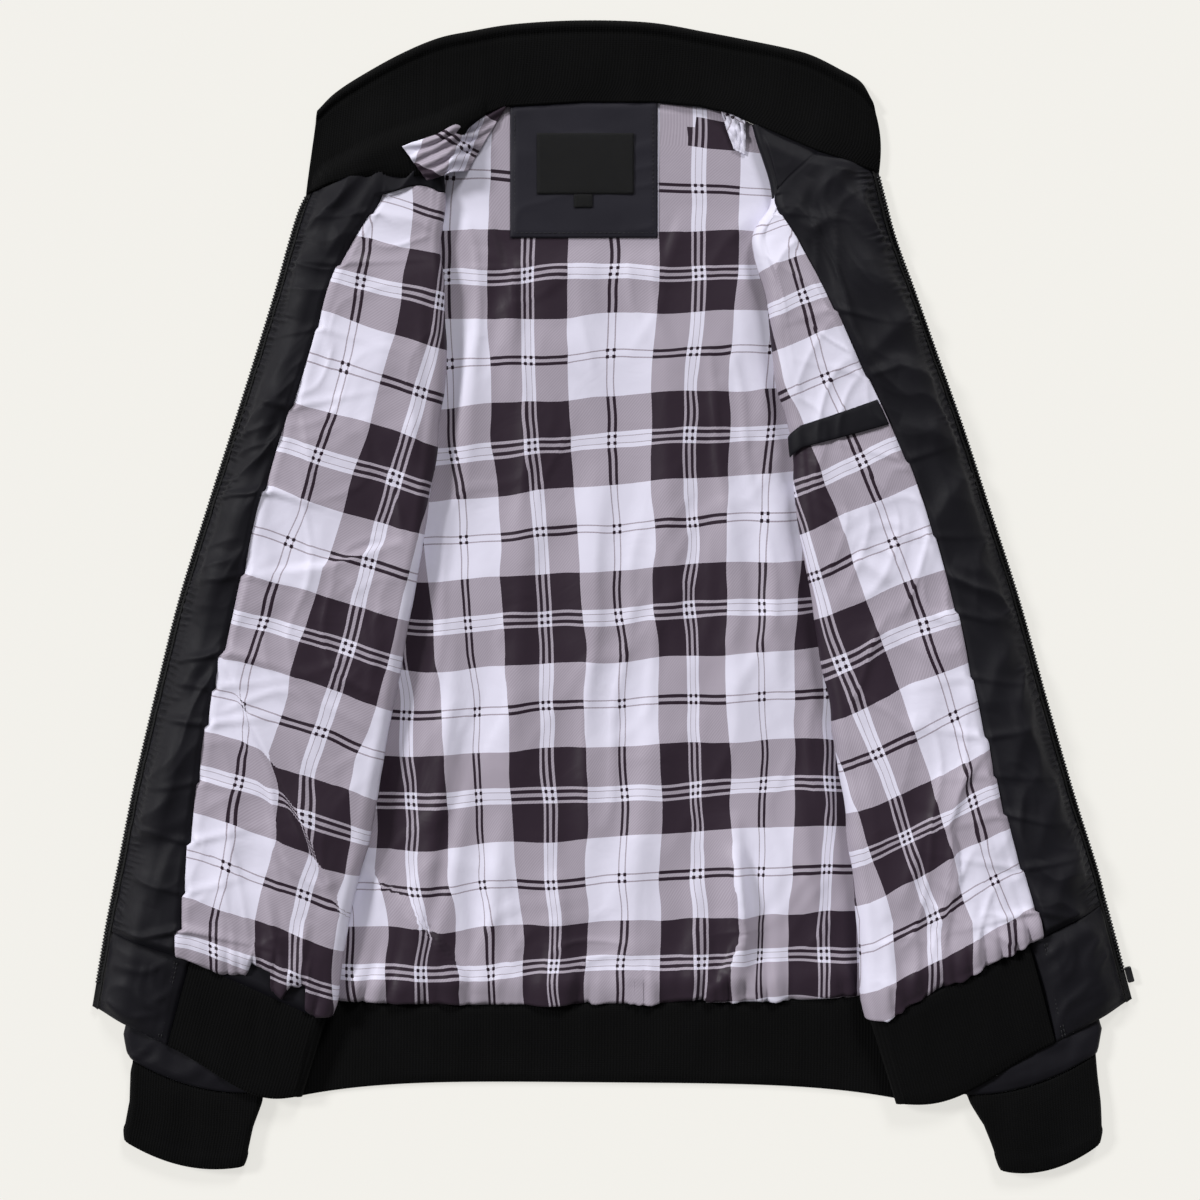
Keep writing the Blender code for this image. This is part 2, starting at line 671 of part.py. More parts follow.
def back():
    """Back shell on the floor, its lining and the back of the hem band."""
    shell_down = YOKE_ROWS + PANEL_ROWS[1:]
    shell_columns = 10

    def place_shell(column, row):
        line = shell_down[row]
        x, y = back_point(lerp(foot_x(LEFT, line), foot_x(RIGHT, line), column / shell_columns), line)
        return x, y, 0.0

    sheet("back_shell", "shell", SHELL, shell_columns, len(shell_down) - 1, place_shell)

    lining_down = stations((NECK_START, 1.0, 2), (1.0, LEVEL_ROW, 7), (LEVEL_ROW, HEM_ROW - SEAM, 8))
    lining_columns = 4 * HEM_GATHERS - 4

    def place_lining(column, row):
        line = lining_down[row]
        left_fold, right_fold = LEFT.value(line, "fold_x"), RIGHT.value(line, "fold_x")
        x = lerp(left_fold - HIDDEN_LINING, right_fold + HIDDEN_LINING, column / lining_columns)
        x, y = back_point(x, line)
        clear = min(x - left_fold, right_fold - x)
        wave = fold_height(BACK_FOLDS, x, y)
        from_hem = y - back_point(x, HEM_ROW)[1]
        across = (x - left_fold) / (right_fold - left_fold)
        gather = 0.5 - 0.5 * math.cos(2 * math.pi * HEM_GATHERS * across)
        wave += HEM_GATHER_HEIGHT * gather * max(0.0, 1.0 - from_hem / HEM_GATHER_REACH)
        wave *= smoothstep((clear - 3.0) / 14.0) * smoothstep((PATCH_BOTTOM - 4.0 - y) / 30.0)
        return x, y, LIFT_LINING + wave

    sheet("back_lining", "lining", LINING, lining_columns, len(lining_down) - 1, place_lining)

    width = foot_x(RIGHT, HEM_ROW) - foot_x(LEFT, HEM_ROW)
    rib_columns = 2 * round(width / RIB_PITCH)

    def place_rib(column, row):
        line = BAND_ROWS[row]
        x, y = back_point(lerp(foot_x(LEFT, line), foot_x(RIGHT, line), column / rib_columns), line)
        return x, y, 0.0

    ribbed_sheet("back_hem_rib", "rib", RIB, rib_columns, len(BAND_ROWS) - 1, place_rib,
                 lambda column: column % 2 == 0)


def collar():
    """Rib collar, opened flat: its rolled edge rests on the floor, its seam climbs over the fronts."""
    rib_count = len(COLLAR_RIBS) - 1
    steps_per_rib = 6
    across = 3

    def place(column, row):
        position = column / steps_per_rib
        seam_x = table_value(COLLAR_RIBS, position, "seam_x")
        edge_x = table_value(COLLAR_RIBS, position, "edge_x")
        edge_y = table_value(COLLAR_RIBS, position, "edge_y")
        seam_z = max(0.0, table_value(COLLAR_RIBS, position, "seam_z"))
        seam_x = min(max(seam_x, NECK_SEAM[0].x), NECK_SEAM[-1].x)
        seam_y = neck_y(seam_x) + NECK_GAP
        share = row / across
        x, y = lerp(seam_x, edge_x, share), lerp(seam_y, edge_y, share)
        end_bow = COLLAR_BOW * math.sin(math.pi * share)
        x += end_bow * smoothstep(position - rib_count + 1)
        z = seam_z * (1.0 - smoothstep(share * 1.25))
        return x, y, z

    ribbed_sheet("collar", "rib", COLLAR, rib_count * steps_per_rib, across, place,
                 lambda column: column % 2 == 0)


def tube(name, finish, rings, wall, flat_columns, ridge=0.0):
    """A flattened tube of cloth, open at both ends, through rings with a flat top and underside
    and round edges. ridge is how deep its top's grooves are."""
    bend_columns = 4
    columns = 2 * (flat_columns + bend_columns)

    def ring_point(column, half, height):
        """Offset across the ring and height, running over the top from the outer edge."""
        radius = height / 2
        flat = half - radius
        column %= columns
        over_top = column < flat_columns + bend_columns
        column %= flat_columns + bend_columns
        if column <= flat_columns:
            across, up = lerp(-flat, flat, column / flat_columns), radius
            if over_top and column % 2 == 1:
                up -= ridge
        else:
            angle = math.pi * (column - flat_columns) / bend_columns
            across, up = flat + radius * math.sin(angle), radius * math.cos(angle)
        return (across, radius + up) if over_top else (-across, radius - up)

    def place(column, row):
        ring = rings[row]
        outer, inner = Vector((ring.outer_x, ring.outer_y)), Vector((ring.inner_x, ring.inner_y))
        across, up = ring_point(column, (inner - outer).length / 2, ring.height)
        middle = (outer + inner) / 2 + (inner - outer).normalized() * across
        return middle.x, middle.y, ring.base + up

    mesh = grid_mesh(name, columns, len(rings) - 1, place)
    top = max(mesh.polygons, key=lambda polygon: polygon.center.z)
    if top.normal.z < 0:
        mesh.flip_normals()
    thicken(add_object(name, mesh, finish), wall, offset=-1.0)


def pocket_welt():
    """Welt of the inner pocket, on the right lining."""
    columns, rows = 10, 3

    def place(column, row):
        across, down = column / columns, row / rows
        top_y = lerp(WELT_TOP[1], WELT_TOP[3], across)
        bottom_y = lerp(WELT_BOTTOM[1], WELT_BOTTOM[3], across)
        station = lerp(WELT_INNER_STATION, 1.0 + 2 * SEAM, across)
        line = RIGHT.row_at(station, lerp(top_y, bottom_y, down))
        point = RIGHT.point(station, line, TOP_OF_SKIN + GAP)
        point.z += skin_wave(RIGHT, station, line, point)
        return point

    sheet("pocket_welt", "shell", WELT_WALL, columns, rows, place)


def flat_patch(name, finish, left, right, top, bottom, level, wall, columns=1, rows=1):
    """A small flat piece of cloth at one level; its top edge may follow the neck seam."""

    def place(column, row):
        x = lerp(left, right, column / columns)
        edge = min(top, neck_y(x) - GAP)
        return x, lerp(edge, bottom, row / rows), level

    sheet(name, finish, wall, columns, rows, place)


def neck_trim():
    """Neck patch on the back lining, with its label and size tab, which stay bare."""
    level = TOP_OF_SKIN + GAP
    flat_patch("neck_patch", "shell", PATCH_LEFT, PATCH_RIGHT, PATCH_TOP, PATCH_BOTTOM, level,
               PATCH_WALL, 6, 4)
    level += PATCH_WALL + GAP
    label_bottom = LABEL_TOP - LABEL_HEIGHT
    flat_patch("neck_label", "label", LABEL_X - LABEL_WIDTH / 2, LABEL_X + LABEL_WIDTH / 2, LABEL_TOP,
               label_bottom, level, LABEL_WALL)
    flat_patch("size_tab", "label", SIZE_TAB_X - SIZE_TAB_WIDTH / 2, SIZE_TAB_X + SIZE_TAB_WIDTH / 2,
               label_bottom - GAP, label_bottom - GAP - SIZE_TAB_HEIGHT, level, LABEL_WALL)


# Lining tucked up at each neck point: X of its ends on the neck seam, its two lower corners,
# the X past which it lies down on the back, its heights over the yoke, and its creases
Tuck = namedtuple("Tuck", "seam_start seam_end low_start low_end drop_x high creases crease_height")
TUCKS = {
    "left": Tuck(-143.0, -78.0, (-132.0, 286.0), (-103.0, 290.0), -113.0, (11.4, 13.2), 3, 2.4),
    "right": Tuck(74.0, 91.0, (83.0, 308.0), (91.0, 304.0), 60.0, (3.4, 3.4), 1, 1.8),
}
TUCK_DROP = 14.0


def neck_tuck(side):
    """Crumpled end of the lining where a front is turned back at the neck."""
    tuck = TUCKS[side]
    columns, rows = 9, 5
    low = TOP_OF_SKIN + GAP + 0.1

    def place(column, row):
        across, down = column / columns, row / rows
        seam_x = lerp(tuck.seam_start, tuck.seam_end, across)
        x = lerp(seam_x, lerp(tuck.low_start[0], tuck.low_end[0], across), down)
        low_y = lerp(tuck.low_start[1], tuck.low_end[1], across)
        y = lerp(neck_y(seam_x) - GAP, low_y, down)
        high = lerp(tuck.high[0], tuck.high[1], down)
        z = lerp(high, low, smoothstep((x - tuck.drop_x) / TUCK_DROP))
        crease = 0.5 - 0.5 * math.cos(2 * math.pi * tuck.creases * down)
        return x, y, z + tuck.crease_height * crease * math.sin(math.pi * (0.1 + 0.8 * across))

    sheet(f"{side}_neck_tuck", "lining", LINING, columns, rows, place)


def zip_slider():
    """Slider parked at the bottom of the right zip, in its box. Its pull hangs on the hidden face."""
    bpy.ops.mesh.primitive_cube_add(size=1.0)
    obj = bpy.context.object
    obj.name = "zip_slider"
    obj.data.name = "zip_slider"
    foot = RIGHT.point(0.0, SLIDER_ROW, LIFT_LINING)
    zip_run = RIGHT.point(0.0, HEM_ROW) - RIGHT.point(0.0, BAND_ROW)
    width, length, height = SLIDER
    for vert in obj.data.vertices:
        vert.co = Vector((vert.co.x * width, vert.co.y * length, vert.co.z * height)) * MM
    obj.location = (foot + Vector((width / 2 + 2 * GAP, 0.0, GAP))) * MM
    obj.rotation_euler.z = math.atan2(-zip_run.x, zip_run.y)
    obj.data.materials.append(MATERIALS["metal"])
    edge = obj.modifiers.new("edge", "BEVEL")
    edge.width = 0.8 * MM
    edge.segments = 2
    for collection in list(obj.users_collection):
        collection.objects.unlink(obj)
    COLLECTION.objects.link(obj)


for old in list(bpy.data.objects):
    bpy.data.objects.remove(old, do_unlink=True)

COLLECTION = bpy.data.collections.new("bomber_jacket")
bpy.context.scene.collection.children.link(COLLECTION)
MATERIALS = {finish: make_material(finish) for finish in COLOURS}

back()
collar()
neck_trim()
for one_front in (LEFT, RIGHT):
    front_shell(one_front)
    front_facing(one_front)
    front_lining(one_front)
    hem_band(one_front)
    zip_tape(one_front)
    neck_tuck(one_front.side)
    tube(f"{one_front.side}_sleeve", "shell", SLEEVES[one_front.side], SLEEVE_WALL, SLEEVE_COLUMNS)
    tube(f"{one_front.side}_cuff", "rib", CUFFS[one_front.side], CUFF_WALL, CUFF_COLUMNS,
         ridge=CUFF_GROOVE)
pocket_welt()
zip_slider()
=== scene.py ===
"""Looks of a bomber jacket laid open on its back, lining side up.

Every cloth piece is a thin shell on the form of its solid, with its creases, gathers and ribs in
the mesh and its weave in the material. Lengths in tables and constants are millimetres, heights
are above the floor, +Y points to the collar and +X to the front with the inner pocket.
"""

import json
import logging
import math
from collections.abc import Callable
from dataclasses import dataclass
from enum import Enum

import bpy
import numpy as np
from mathutils import Matrix, Vector

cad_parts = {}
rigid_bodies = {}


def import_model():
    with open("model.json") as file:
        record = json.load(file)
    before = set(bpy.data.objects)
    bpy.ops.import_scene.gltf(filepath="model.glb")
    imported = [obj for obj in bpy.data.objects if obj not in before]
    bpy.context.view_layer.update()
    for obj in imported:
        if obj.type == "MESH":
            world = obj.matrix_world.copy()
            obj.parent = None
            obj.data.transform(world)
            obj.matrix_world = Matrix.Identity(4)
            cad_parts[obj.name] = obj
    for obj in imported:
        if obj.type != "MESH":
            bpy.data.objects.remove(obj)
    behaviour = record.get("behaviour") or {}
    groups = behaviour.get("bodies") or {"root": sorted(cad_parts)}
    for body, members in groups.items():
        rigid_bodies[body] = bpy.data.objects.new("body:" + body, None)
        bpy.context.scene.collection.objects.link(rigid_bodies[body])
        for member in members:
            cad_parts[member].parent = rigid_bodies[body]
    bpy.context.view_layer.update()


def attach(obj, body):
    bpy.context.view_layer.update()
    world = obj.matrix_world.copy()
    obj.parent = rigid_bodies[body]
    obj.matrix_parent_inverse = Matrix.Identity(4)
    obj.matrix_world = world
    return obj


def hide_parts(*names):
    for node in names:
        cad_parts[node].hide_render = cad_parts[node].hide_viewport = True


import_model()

LOG = logging.getLogger("bomber_jacket")
Array = np.ndarray
MM = 0.001

# Walls of the cloths, and the rib's ridges
SHELL = 1.2
LINING = 0.7
FACING = 0.8
RIB = 1.75
RIB_RIDGE = 0.42
RIB_PITCH = 2.1
COLLAR = 2.5
SLEEVE_WALL = 2.4
CUFF_WALL = 2.2
CUFF_HEIGHT = 8.6
# How the layers lie on each other: heights, and runs across
GAP = 0.3
LIFT_LINING = SHELL + GAP
LIFT_TRIM = LIFT_LINING + 1.0 + GAP
LOW_LAYER = 5.8
FLOOR_RUN = 6.0
ZIP_EDGE = 1.0
ZIP_RISE = 27.0
TURN_MARGIN = 2.6
HIDDEN_LINING = 24.0
HIDDEN_RIB = 80.0
TAPE = 5.2
TAPE_OVER_SHELL = 3.5
TAB_LEAN = 0.08
# Rows down a front: SEAM and YOKE_EDGE are gaps as shares of a row
SEAM = 0.003
YOKE_EDGE = 0.012
YOKE_ROW, LEVEL_ROW, HEM_ROW, BAND_ROW = 1, 8, 11, 12
BACK_HEM_Y, BACK_EDGE_Y = -282.5, -337.0
HEM_ROW_LENGTH = 52.0


class Side(Enum):
    """The two fronts, named as the photo shows them."""

    LEFT = "left"
    RIGHT = "right"

    @property
    def inward(self) -> float:
        """Direction along X from this front's zip to the middle."""
        return 1.0 if self is Side.LEFT else -1.0


@dataclass(frozen=True)
class FrontRow:
    """One row across a front: its points on the zip, the facing seam and the fold."""

    zip_x: float
    zip_y: float
    seam_x: float
    seam_y: float
    fold_x: float
    fold_y: float
    side_x: float
    loft: float
    bow: float


@dataclass(frozen=True)
class NeckPoint:
    """A point of the neck seam."""

    x: float
    y: float


@dataclass(frozen=True)
class CollarRib:
    """One section of the collar, from the neck seam to its rolled edge."""

    seam_x: float
    edge_x: float
    edge_y: float
    seam_z: float


@dataclass(frozen=True)
class SleeveRing:
    """One ring of a flattened sleeve or cuff."""

    outer_x: float
    outer_y: float
    inner_x: float
    inner_y: float
    base: float
    height: float


@dataclass(frozen=True)
class PlaidRow:
    """Half a repeat of the plaid on a front: a point of its warp line, a quarter of a repeat
    across, and the slope of the weft."""

    x: float
    y: float
    quarter: float
    slope: float


@dataclass(frozen=True)
class Crease:
    """A listed crease, along a path in plan. A negative height is a trough."""

    path: tuple[tuple[float, float], ...]
    width: float
    height: float
    lean: float = 1.0
    tuck: float = 0.0


@dataclass(frozen=True)
class Cut:
    """Flat size that a sheet was cut to, and its area, in millimetres."""

    width: float
    length: float
    area: float


def table(kind: type, *rows: tuple) -> tuple:
    """Rows of a table, whose columns are the fields of a dataclass."""
    return tuple(kind(*row) for row in rows)


FRONT_ROWS: dict[Side, tuple[FrontRow, ...]] = {
    Side.LEFT: table(
        FrontRow,
        (-212, 277, -159, 303, -121, 316, -180, 8.2, 0),
        (-218, 264, -159, 275, -116, 277, -185, 9.6, 5),
        (-225, 241, -179, 241, -119, 241, -195, 12.5, 0),
        (-233, 212, -194, 212, -117, 210, -203, 15.5, 0),
        (-247, 166, -208, 165, -116, 162, -219, 16.4, 0),
        (-265, 109, -227, 108, -121, 107, -238, 16.4, 0),
        (-280, 62, -242, 60, -128, 58, -253, 16.4, 0),
        (-300, -3, -258, -6, -140, -9, -269, 16.4, 0),
        (-316, -67, -274, -69, -151, -74, -275, 16.4, 0),
        (-331, -131, -285, -134, -165, -147, -269, 16.4, 0),
        (-342, -186, -293, -195, -180, -215, -242, 16.4, 0),
        (-351, -231, -298, -248, -197, -290, -226, 15.8, 0),
        (-360, -284, -307, -310, -214, -345, -226, 10.8, -10),
    ),
    Side.RIGHT: table(
        FrontRow,
        (183, 292, 141, 306, 95, 326, 152, 8.2, 0),
        (188, 272, 111, 275, 109.5, 273, 159, 9.6, 0),
        (195, 246, 126, 243, 95, 244, 171, 12.5, 0),
        (208, 210, 144, 210, 105, 207, 183, 15.5, 0),
        (225, 162, 167, 162, 110, 161, 197, 16.4, 0),
        (242, 114, 190, 115, 121, 111, 214, 16.4, 0),
        (258, 65, 211, 65, 126, 65, 229, 16.4, 0),
        (280, -3, 232, -3, 136, -3, 249, 16.4, 0),
        (299, -72, 249, -74, 148, -72, 259, 16.4, 0),
        (318, -138, 264, -138, 159, -141, 259, 16.4, 0),
        (334, -189, 279, -188, 166, -203, 235, 16.4, 0),
        (340, -212, 294, -235, 176, -292, 214, 15.8, 0),
        (358, -279, 304, -308, 194, -350, 214, 10.8, -10),
    ),
}
NECK_SEAM = table(
    NeckPoint,
    (-212, 277), (-159, 303), (-121, 316), (-100, 328), (-75, 338), (-23, 341), (29, 341),
    (60, 338), (81, 333), (95, 326), (141, 306), (183, 292),
)
COLLAR_RIBS = table(
    CollarRib,
    (-212, -205, 335, 1.2),
    (-194, -193, 347, 5.0),
    (-172, -175, 359, 8.2),
    (-144, -148, 374, 8.2),
    (-121, -122, 385, 7.0),
    (-100, -99, 390, 4.0),
    (-75, -68, 395, 1.6),
    (-23, -23, 397.5, 0.6),
    (29, 25, 396, 0.6),
    (60, 66, 389, 1.6),
    (81, 92, 384, 4.0),
    (104, 121, 378, 7.0),
    (125, 138, 373, 8.2),
    (145, 156, 364, 8.2),
    (166, 171, 355, 5.0),
    (183, 179, 342, 1.2),
)
# How far a lining's gathered end hangs below the hem seam: X and fall, along each piece
HEM_FALLS: dict[str, tuple[tuple[float, float], ...]] = {
    "left": (
        (-299, 0.0), (-291, 2.0), (-284, 0.6), (-274, 0.0), (-266, -1.2), (-254, -5.4),
        (-253, -3.0), (-251.6, -13.0), (-246, -12.0), (-238, -12.4), (-236.6, -3.0), (-228, -1.6),
        (-226, -7.0), (-224, -10.0), (-219, -10.4), (-214.5, -12.6), (-213, -2.0), (-204, 0.8),
        (-197, 0.6), (-190, 0.0),
    ),
    "right": (
        (168, 0.0), (176, 0.0), (182, 2.4), (187, 6.0), (190, 4.6), (198, 4.4), (200, 2.0),
        (212, 3.4), (214, 0.4), (226, -1.2), (229, 1.2), (238, 4.8), (243, 4.4), (252, 3.4),
        (255, 0.2), (264, 1.2), (276, 2.6), (281, 2.2), (284, 0.4), (294, 0.4),
    ),
    "back": (
        (-170, 0.0), (-150, 0.8), (-133, -0.4), (-126, 1.4), (-118, -0.2), (-104, 2.0), (-89, -0.2),
        (-84, 1.6), (-66, 2.0), (-52, 3.2), (-34, 2.0), (-18, -0.6), (-14.5, 3.4), (5, 0.8),
        (12, 2.2), (25, 3.4), (38, 1.0), (52, -1.0), (58, -2.2), (65, 0.0), (77, 1.0), (83, 2.6),
        (97, -1.0), (104, 1.6), (113, 2.4), (124, -0.2), (140, 2.4), (156, 0.4), (172, 0.0),
    ),
}
# Where the left end of the collar falls down over the facing: X, how far, and its level there;
# then its share below the seam, the least fall, and the collar's length, which sets its ribs
COLLAR_FALL = (
    (-212, 0.0, 1.2), (-205, 1.5, 9.0), (-192, 4.0, 12.5), (-176, 9.0, 14.0), (-160, 14.0, 14.4),
    (-143, 22.0, 14.4), (-126, 25.0, 14.2), (-113, 19.0, 12.5), (-100, 6.0, 8.0), (-88, 0.0, 3.0),
)
COLLAR_LAP, LEAST_LAP, COLLAR_RUN = 0.25, 0.6, 440.0
SLEEVES: dict[Side, tuple[SleeveRing, ...]] = {
    Side.LEFT: table(
        SleeveRing,
        (-206, 206, -137, 196, 6.1, 8.7),
        (-213, 182, -135, 172, 6.1, 9.4),
        (-239, 107, -140, 93, 6.1, 9.6),
        (-269, 17, -158, -3, 6.1, 9.6),
        (-294, -86, -178, -114, 6.1, 9.6),
        (-318, -189, -205, -220, 6.1, 9.2),
        (-326, -226, -223, -254, 6.1, 8.8),
        (-332, -266, -236, -292, 0.9, 9.0),
        (-338, -303, -238, -325, 0.0, 9.4),
        (-334, -319, -240, -342, 0.0, 9.2),
    ),
    Side.RIGHT: table(
        SleeveRing,
        (183, 206, 126, 194, 6.1, 8.7),
        (190, 182, 128, 172, 6.1, 9.4),
        (217, 107, 141, 93, 6.1, 9.6),
        (249, 17, 154, -3, 6.1, 9.6),
        (281, -86, 171, -114, 6.1, 9.6),
        (307, -189, 194, -220, 6.1, 9.2),
        (318, -226, 211, -252, 6.1, 8.8),
        (328, -266, 225, -290, 0.9, 9.0),
        (337, -299, 230, -325, 0.0, 9.4),
        (334, -315, 240, -344, 0.0, 9.2),
    ),
}
CUFFS: dict[Side, tuple[SleeveRing, ...]] = {
    Side.LEFT: table(
        SleeveRing,
        (-332, -320.2, -241, -342.8, 0.0, CUFF_HEIGHT),
        (-333, -349, -249, -367, 0.0, CUFF_HEIGHT),
        (-338, -376, -255, -394, 0.0, CUFF_HEIGHT),
    ),
    Side.RIGHT: table(
        SleeveRing,
        (333, -316, 243, -344, 0.0, CUFF_HEIGHT),
        (335, -349, 256, -365, 0.0, CUFF_HEIGHT),
        (336, -378, 267, -397, 0.0, CUFF_HEIGHT),
    ),
}

# Plaid on the fronts: each row is half a repeat further down
PLAID_ROWS: dict[Side, tuple[PlaidRow, ...]] = {
    Side.LEFT: table(
        PlaidRow,
        (-139.0, 237.6, 30.0, -0.26),
        (-150.1, 178.7, 29.0, -0.30),
        (-167.7, 117.0, 28.5, -0.29),
        (-184.2, 58.0, 29.0, -0.285),
        (-204.0, 0.5, 31.0, -0.31),
        (-219.7, -56.8, 30.5, -0.33),
        (-232.2, -113.0, 26.0, -0.42),
        (-235.8, -168.3, 29.0, -0.38),
        (-247.0, -223.6, 27.0, -0.36),
    ),
    Side.RIGHT: table(
        PlaidRow,
        (123.4, 229.0, 30.0, 0.385),
        (136.8, 177.6, 30.0, 0.463),
        (156.2, 121.8, 30.0, 0.45),
        (179.8, 63.8, 31.0, 0.432),
        (201.4, 9.0, 32.0, 0.385),
        (223.1, -53.3, 31.0, 0.459),
        (239.6, -114.1, 27.0, 0.464),
        (253.4, -167.6, 26.5, 0.56),
        (272.4, -223.0, 27.0, 0.514),
    ),
}
# Where each front's warp line lies in the repeat: 0 starts the dark band and 0.5 the light one
PLAID_LINE = {Side.LEFT: 0.0, Side.RIGHT: 0.75}


@dataclass(frozen=True)
class BackWarp:
    """Edges of the back's dark columns at one height: X of each end and start, from the left."""

    y: float
    edges: tuple[float, ...]


BACK_WARP = table(
    BackWarp,
    (330.0, (-142.0, -86.0, -31.0, 33.0, 88.0, 148.0, 203.0)),
    (223.6, (-144.0, -88.5, -31.4, 30.5, 84.8, 144.0, 202.0)),
    (100.4, (-136.0, -83.7, -30.1, 25.7, 78.0, 133.0, 190.0)),
    (-33.7, (-121.6, -74.1, -19.7, 29.8, 78.0, 126.1, 176.0)),
    (-124.5, (-116.8, -71.3, -17.7, 32.5, 79.3, 125.4, 172.0)),
    (-235.3, (-108.0, -63.0, -19.1, 30.5, 84.8, 121.3, 168.1)),
    (-290.0, (-106.0, -62.0, -19.0, 30.0, 85.0, 120.0, 168.0)),
)
# Y of each dark row's start and end, half a repeat each, left of the middle and right of it
BACK_WEFT_LEFT = (325.0, 252.0, 191.3, 132.8, 70.2, 13.1, -48.8, -108.0, -170.6, -227.7, -287.0)
BACK_WEFT_RIGHT = (311.0, 251.8, 195.4, 139.7, 79.8, 19.3, -42.0, -103.2, -163.7, -222.2, -281.0)
BACK_WEFT_X = (-64.5, 52.5)
BACK_FIRST = -0.5
HATCH_LINES = 52.0
BACK_HALF_REPEAT = 50.0
PLAID_REPEAT = 116.0

FRONT_CREASES: dict[Side, tuple[Crease, ...]] = {
    Side.LEFT: table(
        Crease,
        (((-166, -262), (-188, -214), (-210, -166), (-231, -122), (-253, -78), (-270, -34)), 6.5, 4.6, 1.5, 12.0),
        (((-220, -196), (-236, -140), (-260, -80)), 5.0, 2.2, 1.0, 3.0),
        (((-244, 15), (-223, 17), (-197, 20), (-162, 32), (-134, 39)), 5.0, 2.8, 1.0, 4.0),
        (((-196, 60), (-210, 0), (-216, -60)), 10.0, 1.4),
        (((-150, 200), (-164, 140), (-176, 80)), 10.0, 1.3),
        (((-270, -120), (-262, -170), (-268, -220)), 8.0, 2.2),
        (((-238, -200), (-232, -236), (-226, -262)), 6.0, 3.0),
        (((-210, -222), (-214, -250), (-208, -276)), 5.0, 3.0),
        (((-196, -232), (-198, -262), (-196, -286)), 5.0, 2.6),
        (((-196, 262), (-184, 238), (-172, 214)), 8.0, 2.8),
        (((-206, 240), (-214, 214), (-222, 190)), 7.0, 2.2),
        (((-168, 296), (-190, 270), (-214, 246)), 6.0, 3.0, 1.3),
        (((-160, 292), (-176, 262), (-204, 222)), 6.0, 2.8, 0.8),
        (((-206, 180), (-224, 160), (-240, 132)), 7.0, 2.6, 1.3),
        (((-214, 146), (-236, 120), (-250, 92)), 7.0, 2.8, 1.4),
        (((-232, 88), (-252, 60), (-262, 30)), 7.0, 2.4),
        (((-250, 30), (-272, 8), (-286, -20)), 7.0, 2.6, 1.3),
        (((-262, -28), (-286, -50), (-304, -84)), 7.0, 2.4),
        (((-280, -92), (-300, -120), (-312, -160)), 8.0, 2.8, 1.3),
        (((-288, -150), (-304, -178), (-316, -214)), 7.0, 2.4),
    ),
    Side.RIGHT: table(
        Crease,
        (((164, 26), (176, 20), (190, 8)), 6.0, 3.0),
        (((222, -124), (240, -150), (268, -188)), 8.0, 3.6, 1.4),
        (((260, -98), (236, -136), (229, -160), (236, -192), (225, -230)), 6.0, 3.4, 1.0, 5.0),
        (((214, -150), (206, -184), (196, -214)), 7.0, 2.6),
        (((176, -20), (190, -84), (200, -150)), 10.0, 1.4),
        (((206, -80), (218, -130), (226, -180)), 9.0, 1.4),
        (((236, -196), (244, -224), (246, -256)), 6.0, 2.8),
        (((206, -226), (208, -252), (204, -280)), 5.0, 3.2),
        (((186, -236), (188, -266), (184, -292)), 5.0, 2.6),
        (((106, 246), (112, 222), (120, 190)), 7.0, 2.2),
        (((118, 262), (136, 250), (152, 262)), 6.0, 2.6),
        (((150, 292), (172, 262), (188, 236)), 6.0, 3.0, 1.3),
        (((136, 286), (128, 270), (120, 258)), 6.0, 1.8),
        (((206, 196), (186, 176), (170, 160)), 8.0, 2.4),
        (((176, 150), (196, 158), (224, 140)), 7.0, 3.0, 1.4),
        (((196, 118), (216, 112), (236, 96)), 7.0, 2.4),
        (((240, 88), (226, 60), (214, 42)), 8.0, 2.6, 0.8),
        (((232, 22), (250, 16), (268, -4)), 7.0, 2.4),
        (((272, -28), (262, -52), (256, -80)), 7.0, 2.4),
        (((286, -60), (280, -94), (272, -130)), 8.0, 3.0, 1.4),
        (((306, -104), (300, -140), (290, -180)), 8.0, 3.0, 0.8),
        (((322, -160), (310, -190), (300, -222)), 7.0, 2.4),
    ),
}
# Pleats in the seam between lining and facing: Y, and how far the lining steps out over the facing
PLEATS: dict[Side, tuple[tuple[float, float], ...]] = {
    Side.LEFT: (
        (262, 1.6), (226, 2.2), (183, 1.4), (128, 2.6), (72, 3.6), (14, 2.4), (-39, 4.2),
        (-64, 2.2), (-89, 3.2), (-128, 1.8), (-170, 2.6), (-205, 2.0), (-229, 4.8), (-262, 0.5),
    ),
    Side.RIGHT: (
        (262, 1.2), (196, 1.8), (150, 1.2), (92, 1.6), (40, 1.2), (-12, 2.0), (-56, 1.4),
        (-98, 2.2), (-124, 1.6), (-150, 2.0), (-188, 2.2), (-216, 2.6), (-240, 0.5),
    ),
}
PLEAT_FOLD = 26.0
# A tucked crease: its wide side, its steep side in millimetres, and how far it pulls the weave
TUCK_SPREAD, TUCK_STEEP, TUCK_PULL = 2.2, 1.7, 26.0
